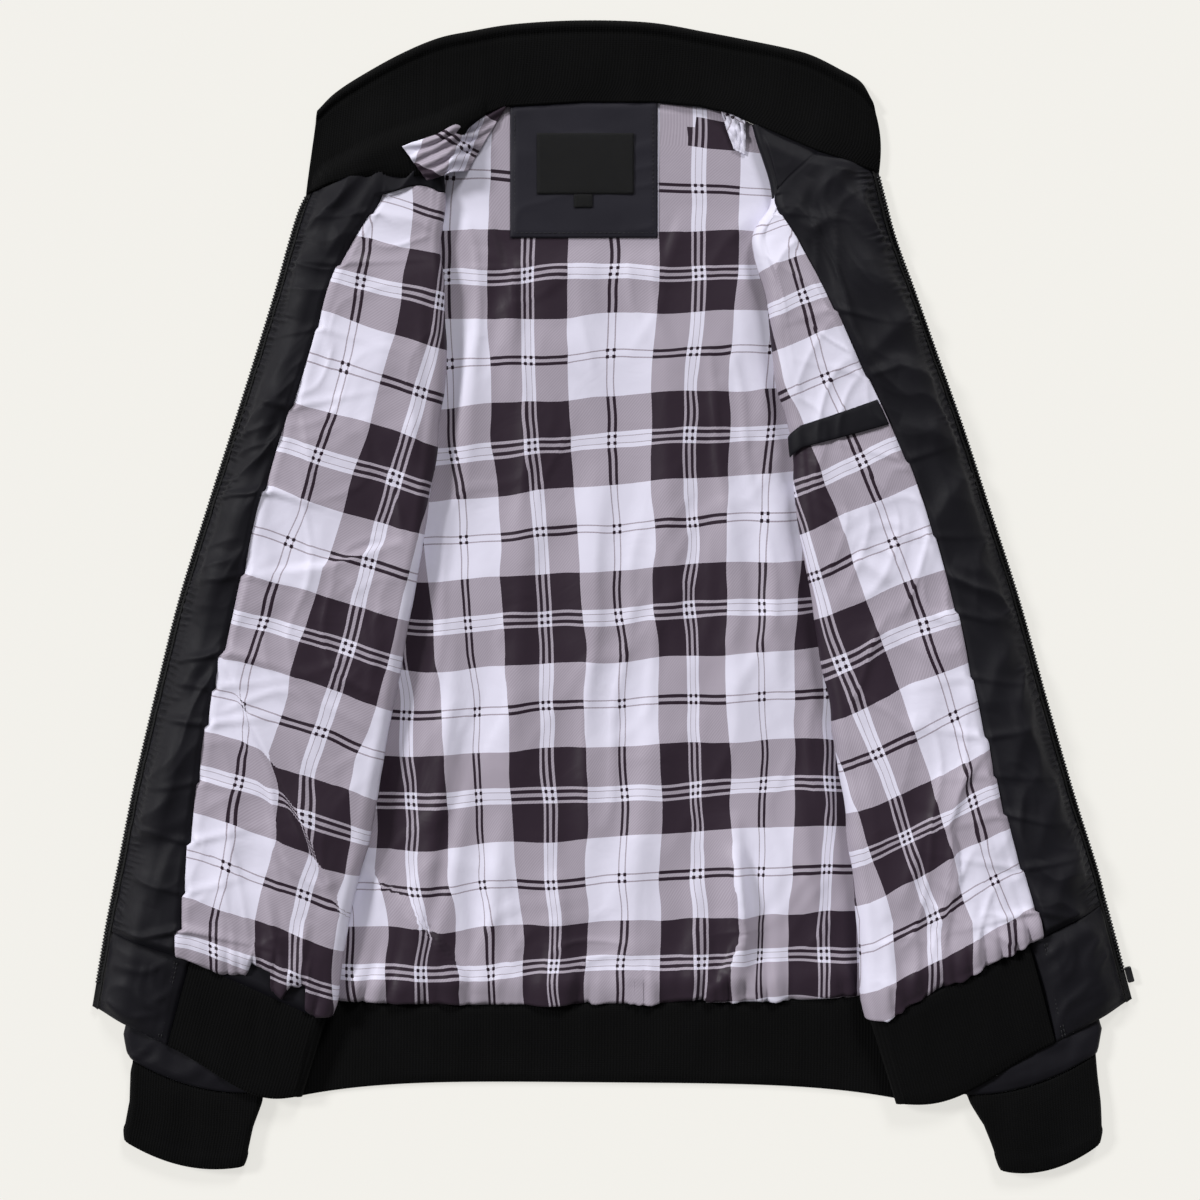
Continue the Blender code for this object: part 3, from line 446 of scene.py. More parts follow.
# How far a crease's slope moves the weave, and the steepest slope that counts
WEAVE_PULL, STEEPEST = 1.3, 0.8
BACK_CREASES = table(
    Crease,
    (((-178, -182), (-150, -208), (-122, -238), (-100, -268)), 7.0, 3.2, 1.0, 7.0),
    (((62, -282), (76, -262), (90, -234), (86, -206), (80, -172)), 6.0, 3.4, 1.0, 7.0),
    (((-88, 240), (-98, 150), (-104, 40)), 10.0, 2.4, 1.3),
    (((-60, 120), (-64, 0), (-72, -160)), 12.0, 2.0),
    (((-14, 90), (-16, -60), (-20, -200)), 10.0, 1.8),
    (((36, 210), (38, 80), (44, -60)), 12.0, 2.2, 0.8),
    (((76, 150), (80, 0), (88, -120)), 10.0, 2.2),
    (((22, -90), (16, -180), (12, -270)), 11.0, 2.4),
    (((-112, -70), (-124, -170), (-140, -262)), 9.0, 3.4, 1.4),
    (((-96, -110), (-112, -200), (-128, -272)), 7.0, 2.6, 0.8),
    (((-76, -150), (-84, -220), (-92, -275)), 8.0, 2.6),
    (((84, -150), (88, -210), (92, -275)), 7.0, 4.4, 1.8),
    (((96, -170), (100, -220), (98, -270)), 6.0, -1.6),
    (((128, -120), (136, -200), (146, -266)), 9.0, 2.6),
    (((-40, -190), (-36, -236), (-34, -275)), 8.0, 2.2),
    (((56, -190), (58, -240), (54, -276)), 7.0, 2.4),
    (((-108, 20), (-112, -60), (-118, -140)), 9.0, 1.8),
    (((-66, 236), (-72, 190), (-70, 130)), 8.0, 1.8),
    (((104, 60), (110, -20), (118, -90)), 8.0, 1.8),
)

WELT_TOP = (122.0, 109.0, 181.0, 134.0)
WELT_BOTTOM = (134.0, 95.0, 190.0, 117.0)
WELT_WALL = 0.8
WELT_CROWN = 0.5
WELT_INNER_STATION = 2.4
PATCH_LEFT, PATCH_RIGHT, PATCH_TOP, PATCH_BOTTOM = -71.5, 30.5, 342.0, 247.0
PATCH_WALL = 0.9
LABEL_WIDTH, LABEL_HEIGHT, LABEL_X, LABEL_TOP = 67.0, 42.0, -19.5, 319.0
SIZE_TAB_WIDTH, SIZE_TAB_HEIGHT, SIZE_TAB_X = 13.0, 9.0, -21.0
LABEL_WALL = 0.5
SLIDER_ROW = BAND_ROW - 0.25
TOOTH_PITCH = 2.3


# ---------------------------------------------------------------- numbers


def smoothstep(value: Array | float) -> Array | float:
    """Ease from 0 to 1."""
    value = np.clip(value, 0.0, 1.0)
    return value * value * (3.0 - 2.0 * value)


def spread(*runs: tuple[float, float, int]) -> Array:
    """Values along runs that follow each other.

    Args:
        runs: start, end and steps of each run.

    Returns:
        The first start, then every step of every run.
    """
    values = [runs[0][0]]
    for start, end, steps in runs:
        values.extend(start + (end - start) * (step + 1) / steps for step in range(steps))
    return np.array(values)


class SoftNoise:
    """Seeded noise in a plane, smooth between the points of a lattice."""

    SIZE = 64

    def __init__(self, seed: int) -> None:
        """Fill the lattice.

        Args:
            seed: start of the random row.
        """
        self.lattice = np.random.RandomState(seed).rand(self.SIZE, self.SIZE)

    def at(self, x: Array, y: Array) -> Array:
        """Noise from 0 to 1 at points measured in cells.

        Args:
            x: first coordinate.
            y: second coordinate.

        Returns:
            The noise at each point.
        """
        x, y = np.asarray(x, float) + 400.0, np.asarray(y, float) + 400.0
        column, row = np.floor(x).astype(int), np.floor(y).astype(int)
        across, down = x - column, y - row
        across = across ** 3 * (across * (across * 6 - 15) + 10)
        down = down ** 3 * (down * (down * 6 - 15) + 10)
        size = self.SIZE
        a = self.lattice[row % size, column % size]
        b = self.lattice[row % size, (column + 1) % size]
        c = self.lattice[(row + 1) % size, column % size]
        d = self.lattice[(row + 1) % size, (column + 1) % size]
        return (a * (1 - across) + b * across) * (1 - down) + (c * (1 - across) + d * across) * down


def wrinkles(x: Array, y: Array, angle: float, length: float, width: float, seed: int,
             sharp: float = 2.0) -> Array:
    """Irregular ridges that run one way, as in cloth that is pushed together.

    Args:
        x: plan coordinate.
        y: plan coordinate.
        angle: direction of the ridges, in degrees from +X.
        length: how long a ridge runs.
        width: distance between ridges.
        seed: start of the random row.
        sharp: how narrow the ridges are.

    Returns:
        Height from 0 to 1.
    """
    turn = math.radians(angle)
    along = x * math.cos(turn) + y * math.sin(turn)
    across = -x * math.sin(turn) + y * math.cos(turn)
    bend = SoftNoise(seed + 1).at(along / length, across / length)
    value = SoftNoise(seed).at(along / length, (across + (bend - 0.5) * width * 3.0) / width)
    return (1.0 - np.abs(2.0 * value - 1.0)) ** sharp


@dataclass(frozen=True)
class Ripple:
    """A layer of wrinkles: the way they run, their size, how narrow they are, and their height."""

    angle: float
    length: float
    spacing: float
    sharp: float
    height: float
    seed: int

    def relief(self, x: Array, y: Array) -> Array:
        """Height at points of the plan."""
        ridges = wrinkles(x, y, self.angle, self.length, self.spacing, self.seed, self.sharp)
        return ridges * self.height


@dataclass(frozen=True)
class Swell:
    """A layer of soft swells: their size along X and Y, and their height."""

    size_x: float
    size_y: float
    height: float
    seed: int

    def relief(self, x: Array, y: Array) -> Array:
        """Height at points of the plan, from 0 up."""
        return SoftNoise(self.seed).at(x / self.size_x, y / self.size_y) * self.height

    def ease(self, x: Array, y: Array) -> Array:
        """Shift at points of the plan, about 0."""
        return self.relief(x, y) - self.height / 2


Layers = tuple[Ripple | Swell, ...]
FACING_LAYERS: dict[Side, Layers] = {
    Side.LEFT: (Ripple(50.0, 72.0, 22.0, 1.2, 4.4, 11), Ripple(26.0, 60.0, 24.0, 1.4, 1.6, 15),
                Ripple(62.0, 40.0, 10.0, 1.6, 0.6, 19)),
    Side.RIGHT: (Ripple(118.0, 72.0, 22.0, 1.2, 4.4, 57), Ripple(94.0, 60.0, 24.0, 1.4, 1.6, 61),
                 Ripple(130.0, 40.0, 10.0, 1.6, 0.6, 65)),
}
LINING_LAYERS: dict[Side, Layers] = {
    Side.LEFT: (Swell(32.0, 44.0, 2.4, 31), Ripple(100.0, 80.0, 19.0, 1.8, 1.9, 35),
                Ripple(20.0, 50.0, 24.0, 2.2, 1.2, 39)),
    Side.RIGHT: (Swell(32.0, 44.0, 2.4, 77), Ripple(76.0, 80.0, 19.0, 1.8, 1.9, 81),
                 Ripple(150.0, 50.0, 24.0, 2.2, 1.2, 85)),
}
TAB_LAYERS: dict[Side, Layers] = {
    Side.LEFT: (Ripple(38.0, 40.0, 12.0, 1.4, 2.4, 71), Ripple(120.0, 26.0, 10.0, 2.0, 1.3, 76)),
    Side.RIGHT: (Ripple(38.0, 40.0, 12.0, 1.4, 2.4, 83), Ripple(120.0, 26.0, 10.0, 2.0, 1.3, 88)),
}
SLEEVE_LAYERS: dict[Side, Layers] = {
    Side.LEFT: (Ripple(20.0, 30.0, 9.0, 2.0, 2.0, 301), Swell(8.0, 12.0, 1.2, 304)),
    Side.RIGHT: (Ripple(20.0, 30.0, 9.0, 2.0, 2.0, 311), Swell(8.0, 12.0, 1.2, 314)),
}
BACK_LAYERS: Layers = (
    Ripple(92.0, 110.0, 19.0, 1.5, 2.2, 201), Ripple(60.0, 60.0, 26.0, 2.0, 1.1, 203),
    Swell(30.0, 60.0, 2.4, 205),
)


def layered(layers: Layers, x: Array, y: Array) -> Array:
    """Height of some layers together."""
    return sum(layer.relief(x, y) for layer in layers)


@dataclass(frozen=True)
class Seeds:
    """Where each random row of one front starts."""

    puckers: int
    lining: int
    rib: int
    tape: int
    cuff: int


SEEDS = {Side.LEFT: Seeds(11, 91, 80, 121, 321), Side.RIGHT: Seeds(57, 95, 92, 133, 331)}
BACK_HEM_SEED, BACK_DRIFT_SEED, BACK_RIB_SEED = 97, 213, 221
COLLAR_SEED, PATCH_SEED, TUCK_SEED = 241, 401, 451


@dataclass(frozen=True)
class ZipPuckers:
    """Short ridges across a facing, where the zip's seam draws the cloth together."""

    seed: int
    spacing: float = 4.6
    slant: float = 0.35
    wander: float = 2.6
    height: float = 2.4
    past_tape: float = 4.2
    shortest: float = 3.2
    longer: float = 3.6

    def relief(self, y: Array, from_zip: Array) -> Array:
        """Height of the ridges.

        Args:
            y: plan coordinate.
            from_zip: distance from the zip.

        Returns:
            Height at each point.
        """
        still = 0.0 * y
        phase = (y + self.slant * from_zip) / self.spacing
        phase = phase + self.wander * SoftNoise(self.seed + 30).at(y / 19.0, from_zip / 40.0)
        ridges = (0.5 - 0.5 * np.cos(math.tau * phase)) ** 0.8
        reach = self.shortest + self.longer * SoftNoise(self.seed + 34).at(y / 7.0, still) ** 2
        middle = TAPE + self.past_tape + 2.4 * SoftNoise(self.seed + 35).at(y / 34.0, still)
        strength = 0.3 + 1.1 * SoftNoise(self.seed + 33).at(y / 9.0, still)
        return self.height * strength * ridges * np.exp(-((from_zip - middle) / reach) ** 2)


def along_crease(crease: Crease, x: Array, y: Array) -> tuple[Array, Array, Array, Array]:
    """Where points lie beside a crease.

    Args:
        crease: the crease.
        x: plan coordinate.
        y: plan coordinate.

    Returns:
        Distance, positive on the crease's left; place along it from 0 to 1; and the way across it
        in X and Y.
    """
    run = sum(math.dist(a, b) for a, b in zip(crease.path, crease.path[1:]))
    nearest, side, place = np.full(np.shape(x), 1e9), np.zeros(np.shape(x)), np.zeros(np.shape(x))
    way_x, way_y = np.zeros(np.shape(x)), np.zeros(np.shape(x))
    start = 0.0
    for (x0, y0), (x1, y1) in zip(crease.path, crease.path[1:]):
        step = math.dist((x0, y0), (x1, y1))
        share = np.clip(((x - x0) * (x1 - x0) + (y - y0) * (y1 - y0)) / step ** 2, 0.0, 1.0)
        dx, dy = x - (x0 + share * (x1 - x0)), y - (y0 + share * (y1 - y0))
        distance = np.hypot(dx, dy)
        closer = distance < nearest
        nearest = np.where(closer, distance, nearest)
        side = np.where(closer, np.sign(dx * (y1 - y0) - dy * (x1 - x0)), side)
        place = np.where(closer, (start + share * step) / run, place)
        way_x = np.where(closer, (y1 - y0) / step, way_x)
        way_y = np.where(closer, -(x1 - x0) / step, way_y)
        start += step
    return nearest * side, place, way_x, way_y


def crease_relief(creases: tuple[Crease, ...], x: Array, y: Array) -> Array:
    """Height that the listed creases add; a tucked crease has one steep side.

    Args:
        creases: the creases.
        x: plan coordinate.
        y: plan coordinate.

    Returns:
        Height at each point.
    """
    total = np.zeros(np.shape(x))
    for crease in creases:
        distance, place, _, _ = along_crease(crease, x, y)
        wide, steep = crease.width * crease.lean, crease.width / crease.lean
        if crease.tuck:
            wide, steep = crease.width * TUCK_SPREAD, TUCK_STEEP
        width = np.where(distance > 0, wide, steep)
        section = np.exp(-((np.abs(distance) / width) ** 1.6))
        total += crease.height * section * np.sin(math.pi * place) ** 0.7
    return total


def crease_shift(creases: tuple[Crease, ...], x: Array, y: Array) -> tuple[Array, Array]:
    """How far the weave is moved by the cloth that tucked creases take up.

    Args:
        creases: the creases.
        x: plan coordinate.
        y: plan coordinate.

    Returns:
        Shift in X and Y.
    """
    shift_x, shift_y = np.zeros(np.shape(x)), np.zeros(np.shape(x))
    for crease in creases:
        if not crease.tuck:
            continue
        distance, place, way_x, way_y = along_crease(crease, x, y)
        amount = 0.5 * crease.tuck * np.tanh(distance / 0.8) * np.exp(-np.abs(distance) / TUCK_PULL)
        amount = amount * np.sin(math.pi * place) ** 0.5
        shift_x, shift_y = shift_x + way_x * amount, shift_y + way_y * amount
    return shift_x, shift_y


class Table:
    """A table of rows, read between its rows along a smooth curve."""

    def __init__(self, rows: tuple, straight_from: int | None = None) -> None:
        """Take the rows' columns apart.

        Args:
            rows: dataclasses with the same fields.
            straight_from: row from which the curve is straight lines.
        """
        self.columns = {}
        for key in vars(rows[0]):
            self.columns[key] = np.array([getattr(row, key) for row in rows], float)
        self.last = len(rows) - 1
        self.straight_from = straight_from

    def read(self, position: Array | float, column: str) -> Array:
        """Values of a column.

        Args:
            position: rows, with fractions.
            column: the column's name.

        Returns:
            The value at each position.
        """
        values = self.columns[column]
        position = np.clip(np.asarray(position, float), 0.0, self.last)
        index = np.minimum(position.astype(int), self.last - 1)
        share = position - index
        start, end = values[index], values[index + 1]
        before, after = values[np.maximum(index - 1, 0)], values[np.minimum(index + 2, self.last)]
        slope_in = (end - before) / np.where(index > 0, 2.0, 1.0)
        slope_out = (after - start) / np.where(index + 2 > self.last, 1.0, 2.0)
        square, cube = share ** 2, share ** 3
        smooth = (start * (2 * cube - 3 * square + 1) + end * (3 * square - 2 * cube)
                  + slope_in * (cube - 2 * square + share) + slope_out * (cube - square))
        if self.straight_from is None:
            return smooth
        return np.where(index >= self.straight_from, start + (end - start) * share, smooth)


def neck_y(x: Array | float) -> Array:
    """Y of the neck seam at an X."""
    return np.interp(x, [point.x for point in NECK_SEAM], [point.y for point in NECK_SEAM])


def stack(x: Array, y: Array, z: Array) -> Array:
    """Join coordinates to points."""
    x, y, z = np.broadcast_arrays(x, y, z)
    return np.stack([x, y, z], axis=-1)


def grid_normals(points: Array, closed: bool = False) -> Array:
    """Unit normals of a grid, upwards at its first point.

    Args:
        points: rows and columns of points.
        closed: the first and last column are the same.

    Returns:
        A normal for each point.
    """
    down = np.gradient(points, axis=0)
    across = np.gradient(points, axis=1)
    if closed:
        seam = points[:, 1] - points[:, -2]
        across[:, 0] = across[:, -1] = seam / 2
    normal = np.cross(across, down)
    length = np.linalg.norm(normal, axis=-1, keepdims=True)
    normal = normal / np.maximum(length, 1e-9)
    return normal if normal[0, points.shape[1] // 3, 2] > 0 else -normal


def run_length(points: Array, axis: int) -> Array:
    """Length along the rows or the columns of a grid.

    Args:
        points: rows and columns of points.
        axis: 0 down the rows, 1 across the columns.

    Returns:
        The length up to each point.
    """
    step = np.linalg.norm(np.diff(points, axis=axis), axis=-1)
    zero = np.zeros_like(np.take(step, [0], axis=axis))
    return np.concatenate([zero, np.cumsum(step, axis=axis)], axis=axis)


class FrontForm:
    """Form of one opened front, the same as its solids'. Stations across it run 0 at the zip, 1 at
    the facing seam, 2 where the fold over the back starts, 3 where it ends beneath, 4 and 5 where
    the side fold starts and ends, and 6 at its foot."""

    def __init__(self, side: Side) -> None:
        """Read the front's table.

        Args:
            side: which front.
        """
        self.side = side
        self.inward = side.inward
        self.table = Table(FRONT_ROWS[side], straight_from=HEM_ROW)

    def value(self, row: Array | float, column: str) -> Array:
        """A column of the front's table."""
        return self.table.read(row, column)

    def turn_radius(self, row: Array | float) -> Array:
        """Radius of the fold over the back."""
        return (self.value(row, "loft") - LOW_LAYER) / 2

    def plan(self, station: Array | float, row: Array | float) -> tuple[Array, Array]:
        """Plan point on the top layer, for stations 0 to 2.

        Args:
            station: place across.
            row: place down.

        Returns:
            X and Y.
        """
        station = np.asarray(station, float)
        zip_x, zip_y = self.value(row, "zip_x"), self.value(row, "zip_y")
        seam_x, seam_y = self.value(row, "seam_x"), self.value(row, "seam_y")
        turn = self.turn_radius(row) + TURN_MARGIN
        fold_x, fold_y = self.value(row, "fold_x") - self.inward * turn, self.value(row, "fold_y")
        past = station - 1.0
        bow = self.value(row, "bow") * np.sin(math.pi * np.clip(past, 0.0, 1.0) ** 1.6)
        strip = station <= 1.0
        x = np.where(strip, zip_x + (seam_x - zip_x) * station, seam_x + (fold_x - seam_x) * past)
        y = np.where(strip, zip_y + (seam_y - zip_y) * station, seam_y + (fold_y - seam_y) * past + bow)
        return x, y

    def side_y(self, row: Array | float) -> Array:
        """Y of the hidden layer at the side fold."""
        side_x = self.value(row, "side_x")
        seam_x, zip_x, fold_x = (self.value(row, key) for key in ("seam_x", "zip_x", "fold_x"))
        station = (side_x - zip_x) / (seam_x - zip_x)
        station = np.where(station > 1.0, 1.0 + (side_x - seam_x) / (fold_x - seam_x), station)
        return self.plan(np.minimum(station, 2.0), row)[1]

    def height(self, x: Array, y: Array, row: Array) -> Array:
        """Height of the shell's inner face in the top layer."""
        from_zip = np.hypot(x - self.value(row, "zip_x"), y - self.value(row, "zip_y"))
        return ZIP_EDGE + (self.value(row, "loft") - ZIP_EDGE) * smoothstep(from_zip / ZIP_RISE)

    def straight_face(self, station: Array, row: Array) -> Array:
        """Inner face of the shell before its first rows are bent.

        Args:
            station: place across.
            row: place down.

        Returns:
            Points.
        """
        station, row = np.broadcast_arrays(np.asarray(station, float), np.asarray(row, float))
        x0, y0 = self.plan(np.minimum(station, 2.0), row)
        z0 = self.height(x0, y0, row)
        start_x, start_y = self.plan(np.full(station.shape, 2.0), row)
        radius = (self.height(start_x, start_y, row) - LOW_LAYER) / 2
        turn = math.pi * (station - 2.0)
        x1 = start_x + self.inward * radius * np.sin(turn)
        z1 = LOW_LAYER + radius + radius * np.cos(turn)
        side_radius = LOW_LAYER / 2
        end_x = self.value(row, "side_x") + self.inward * side_radius
        side_y = self.side_y(row)
        share = station - 3.0
        x2 = start_x + (end_x - start_x) * share
        y2 = start_y + (side_y - start_y) * share
        roll = math.pi * (station - 4.0)
        x3 = end_x - self.inward * side_radius * np.sin(roll)
        z3 = np.maximum(0.0, side_radius + side_radius * np.cos(roll))
        x4 = end_x + self.inward * FLOOR_RUN * (station - 5.0)
        cases = [station <= 2.0, station <= 3.0, station <= 4.0, station <= 5.0]
        x = np.select(cases, [x0, x1, x2, x3], x4)
        y = np.select(cases, [y0, start_y, y2, side_y], side_y)
        z = np.select(cases, [z0, z1, np.full(station.shape, LOW_LAYER), z3], 0.0)
        return stack(x, y, z)

    def face(self, station: Array, row: Array) -> Array:
        """Inner face of the shell; the rows next to the collar follow the neck seam."""
        point = self.straight_face(station, row)
        row = np.broadcast_to(np.asarray(row, float), point.shape[:-1])
        top = self.straight_face(station, np.zeros_like(row))
        bend = (neck_y(top[..., 0]) - top[..., 1]) * np.clip(1.0 - row, 0.0, 1.0) ** 2
        point[..., 1] += bend
        return point

    def normal(self, station: Array, row: Array) -> Array:
        """Unit normal away from the sleeve, up on the top layer."""
        step = 0.02
        station, row = np.broadcast_arrays(np.asarray(station, float), np.asarray(row, float))
        across = self.face(station + step, row) - self.face(np.maximum(station - step, 0.0), row)
        along = self.face(station, np.minimum(row + step, BAND_ROW))
        along = along - self.face(station, np.maximum(row - step, 0.0))
        normal = np.cross(across, along)
        length = np.linalg.norm(normal, axis=-1, keepdims=True)
        return -self.inward * normal / np.maximum(length, 1e-9)

    def station_at(self, distance: Array | float, row: Array | float) -> Array:
        """Station at a distance from the zip, before the facing seam."""
        width = np.hypot(self.value(row, "seam_x") - self.value(row, "zip_x"),
                         self.value(row, "seam_y") - self.value(row, "zip_y"))
        return distance / width

    def row_at(self, station: Array, y: Array) -> Array:
        """Row whose point at a station lies at a Y."""
        low = np.full(np.shape(y), float(YOKE_ROW))
        high = np.full(np.shape(y), float(HEM_ROW))
        for _ in range(30):
            middle = (low + high) / 2
            above = self.plan(station, middle)[1] > y
            low, high = np.where(above, middle, low), np.where(above, high, middle)
        return (low + high) / 2

    def band_seam(self, row: Array | float) -> Array:
        """Station of the seam between the hem band's tab and its rib."""
        return 1.0 + TAB_LEAN * (BAND_ROW - row)

    def foot_x(self, row: Array | float) -> Array:
        """X where the foot of the side fold ends and the back begins."""
        return self.value(row, "side_x") + self.inward * (LOW_LAYER / 2 + FLOOR_RUN + GAP)

    def plaid(self, x: Array, y: Array) -> tuple[Array, Array]:
        """Plaid coordinates, in repeats, at a plan point.

        Args:
            x: plan coordinate.
            y: plan coordinate.

        Returns:
            Place across the columns and down the rows.
        """
        rows = PLAID_ROWS[self.side][::-1]
        line_x, line_y = [row.x for row in rows], [row.y for row in rows]
        slopes, quarters = [row.slope for row in rows], [row.quarter for row in rows]
        down = np.arange(len(rows))[::-1] * 0.5
        at = np.array(y, float)
        for _ in range(3):
            at = y - np.interp(at, line_y, slopes) * (x - np.interp(at, line_y, line_x))
        low, high = line_y[0], line_y[-1]
        place = np.interp(at, line_y, down)
        place = np.where(at > high, -(at - high) / PLAID_REPEAT, place)
        place = np.where(at < low, down[0] + (low - at) / PLAID_REPEAT, place)
        repeat = 4 * np.interp(at, line_y, quarters)
        return PLAID_LINE[self.side] + (x - np.interp(y, line_y, line_x)) / repeat, place


class BackForm:
    """Form of the back, between the feet of the two side folds."""

    def __init__(self, left: FrontForm, right: FrontForm) -> None:
        """Keep the two fronts.

        Args:
            left: left front.
            right: right front.
        """
        self.left, self.right = left, right

    def row_y(self, x: Array, row: Array) -> Array:
        """Y of a row at an X."""
        row = np.asarray(row, float)
        left_x, right_x = self.left.foot_x(row), self.right.foot_x(row)
        left_y, right_y = self.left.side_y(row), self.right.side_y(row)
        share = (x - left_x) / (right_x - left_x)
        mean = (left_y + right_y) / 2
        level = (self.left.side_y(LEVEL_ROW) + self.right.side_y(LEVEL_ROW)) / 2
        band = BACK_HEM_Y + (BACK_EDGE_Y - BACK_HEM_Y) * (row - HEM_ROW)
        skirt = level + (BACK_HEM_Y - level) * (row - LEVEL_ROW) / (HEM_ROW - LEVEL_ROW)
        middle = np.select([row > HEM_ROW, row > LEVEL_ROW], [band, skirt], mean)
        hump = 1.0 - np.minimum(1.0, np.abs(2.0 * share - 1.0)) ** 4
        return left_y + (right_y - left_y) * share + (middle - mean) * hump

    def plan(self, x: Array, row: Array) -> tuple[Array, Array]:
        """Plan point; the first rows are bent to follow the neck seam."""
        y = self.row_y(x, row)
        bend = (neck_y(x) - self.row_y(x, np.zeros_like(row))) * np.clip(1.0 - row, 0.0, 1.0) ** 2
        return x, y + bend

    def plaid(self, x: Array, y: Array) -> tuple[Array, Array]:
        """Plaid coordinates, in repeats, at a plan point.

        Args:
            x: plan coordinate.
            y: plan coordinate.

        Returns:
            Place across the columns and down the rows.
        """
        rows = BACK_WARP[::-1]
        heights = [row.y for row in rows]
        lines = [np.interp(y, heights, edge) for edge in zip(*(row.edges for row in rows))]
        across = BACK_FIRST + (x - lines[0]) / (2 * BACK_HALF_REPEAT)
        for index, (start, end) in enumerate(zip(lines, lines[1:])):
            share = (x - start) / (end - start)
            across = np.where(x >= start, BACK_FIRST + 0.5 * (index + share), across)
        last = BACK_FIRST + 0.5 * (len(lines) - 1)
        across = np.where(x >= lines[-1], last + (x - lines[-1]) / (2 * BACK_HALF_REPEAT), across)
        mix = np.clip((x - BACK_WEFT_X[0]) / (BACK_WEFT_X[1] - BACK_WEFT_X[0]), -0.6, 1.8)
        down = BACK_FIRST + 0.5 * np.arange(len(BACK_WEFT_LEFT))
        left = np.interp(-y, -np.array(BACK_WEFT_LEFT), down)
        right = np.interp(-y, -np.array(BACK_WEFT_RIGHT), down)
        return across, left + (right - left) * mix


# ---------------------------------------------------------------- shader groups


class ShaderGroup:
    """A node group with named sockets, built once."""

    def __init__(self, name: str) -> None:
        """Make the empty group.

        Args:
            name: the group's name.
        """
        self.tree = bpy.data.node_groups.new(name, "ShaderNodeTree")
        self.start = self.tree.nodes.new("NodeGroupInput")
        self.end = self.tree.nodes.new("NodeGroupOutput")

    def take(self, name: str, kind: str, value: float | tuple | None = None) -> bpy.types.NodeSocket:
        """Add an input.

        Args:
            name: the socket's name.
            kind: Float, Vector or Color.
            value: its default.

        Returns:
            The socket to link from.
        """
        new_socket = self.tree.interface.new_socket
        socket = new_socket(name=name, in_out="INPUT", socket_type=f"NodeSocket{kind}")
        if value is not None:
            socket.default_value = value
        return self.start.outputs[name]

    def give(self, name: str, kind: str, source: bpy.types.NodeSocket) -> None:
        """Add an output and feed it.

        Args:
            name: the socket's name.
            kind: Float, Vector or Color.
            source: what feeds it.
        """
        self.tree.interface.new_socket(name=name, in_out="OUTPUT", socket_type=f"NodeSocket{kind}")
        self.tree.links.new(source, self.end.inputs[name])

    def node(self, kind: str, **settings: object) -> bpy.types.Node:
        """Add a node with settings."""
        return add_node(self.tree, kind, **settings)

    def math(self, operation: str, *values: object) -> bpy.types.NodeSocket:
        """Add a math node."""
        return add_math(self.tree, operation, *values)

    def object_noise(self, size: bpy.types.NodeSocket, detail: float,
                     distortion: float = 0.0) -> bpy.types.NodeSocket:
        """Add noise that reads object coordinates.

        Args:
            size: its scale.
            detail: its detail.
            distortion: how much it is bent.

        Returns:
            Its value.
        """
        coordinates = self.node("ShaderNodeTexCoord")
        noise = self.node("ShaderNodeTexNoise", noise_dimensions="3D")
        noise.inputs["Detail"].default_value = detail
        noise.inputs["Distortion"].default_value = distortion
        self.tree.links.new(coordinates.outputs["Object"], noise.inputs["Vector"])
        self.tree.links.new(size, noise.inputs["Scale"])
        return noise.outputs[0]


def add_node(tree: bpy.types.NodeTree, kind: str, **settings: object) -> bpy.types.Node:
    """Add a node with settings.

    Args:
        tree: where to.
        kind: the node's type.
        settings: its properties.

    Returns:
        The node.
    """
    node = tree.nodes.new(kind)
    for key, value in settings.items():
        setattr(node, key, value)
    return node


def add_math(tree: bpy.types.NodeTree, operation: str, *values: object) -> bpy.types.NodeSocket:
    """Add a math node whose inputs are sockets or numbers.

    Args:
        tree: where to.
        operation: Blender's name of it.
        values: its inputs.

    Returns:
        Its result.
    """
    node = add_node(tree, "ShaderNodeMath", operation=operation)
    for index, value in enumerate(values):
        if isinstance(value, bpy.types.NodeSocket):
            tree.links.new(value, node.inputs[index])
        else:
            node.inputs[index].default_value = float(value)
    return node.outputs[0]


def set_ramp(node: bpy.types.Node, stops: tuple, interpolation: str = "LINEAR") -> None:
    """Fill a colour ramp.

    Args:
        node: the ramp.
        stops: position and colour of each stop.
        interpolation: Blender's name of it.
    """
    ramp = node.color_ramp
    ramp.interpolation = interpolation
    while len(ramp.elements) > 1:
        ramp.elements.remove(ramp.elements[-1])
    ramp.elements[0].position = stops[0][0]
    ramp.elements[0].color = stops[0][1]
    for position, colour in stops[1:]:
        ramp.elements.new(position).color = colour


def grey(value: float) -> tuple[float, float, float, float]:
    """A grey as a colour."""
    return (value, value, value, 1.0)


class PlaidProfile:
    """Stripes of the plaid across one repeat: where each starts and whether it is light.

    A dark line is full where it crosses dark threads and shows as a hairline on light ones.
    """

    FULL = (
        (0.0, 0.02), (0.206, 1), (0.2215, 0), (0.2395, 0.9), (0.2605, 0), (0.2785, 1), (0.294, 0.02),
        (0.5, 1), (0.719, 0), (0.739, 1), (0.761, 0), (0.781, 1),
    )
    HAIRLINE = (
        (0.0, 0.02), (0.206, 1), (0.2268, 0), (0.2338, 0.9), (0.2662, 0), (0.2732, 1), (0.294, 0.02),
        (0.5, 1), (0.7258, 0), (0.7322, 1), (0.7678, 0), (0.7742, 1),
    )


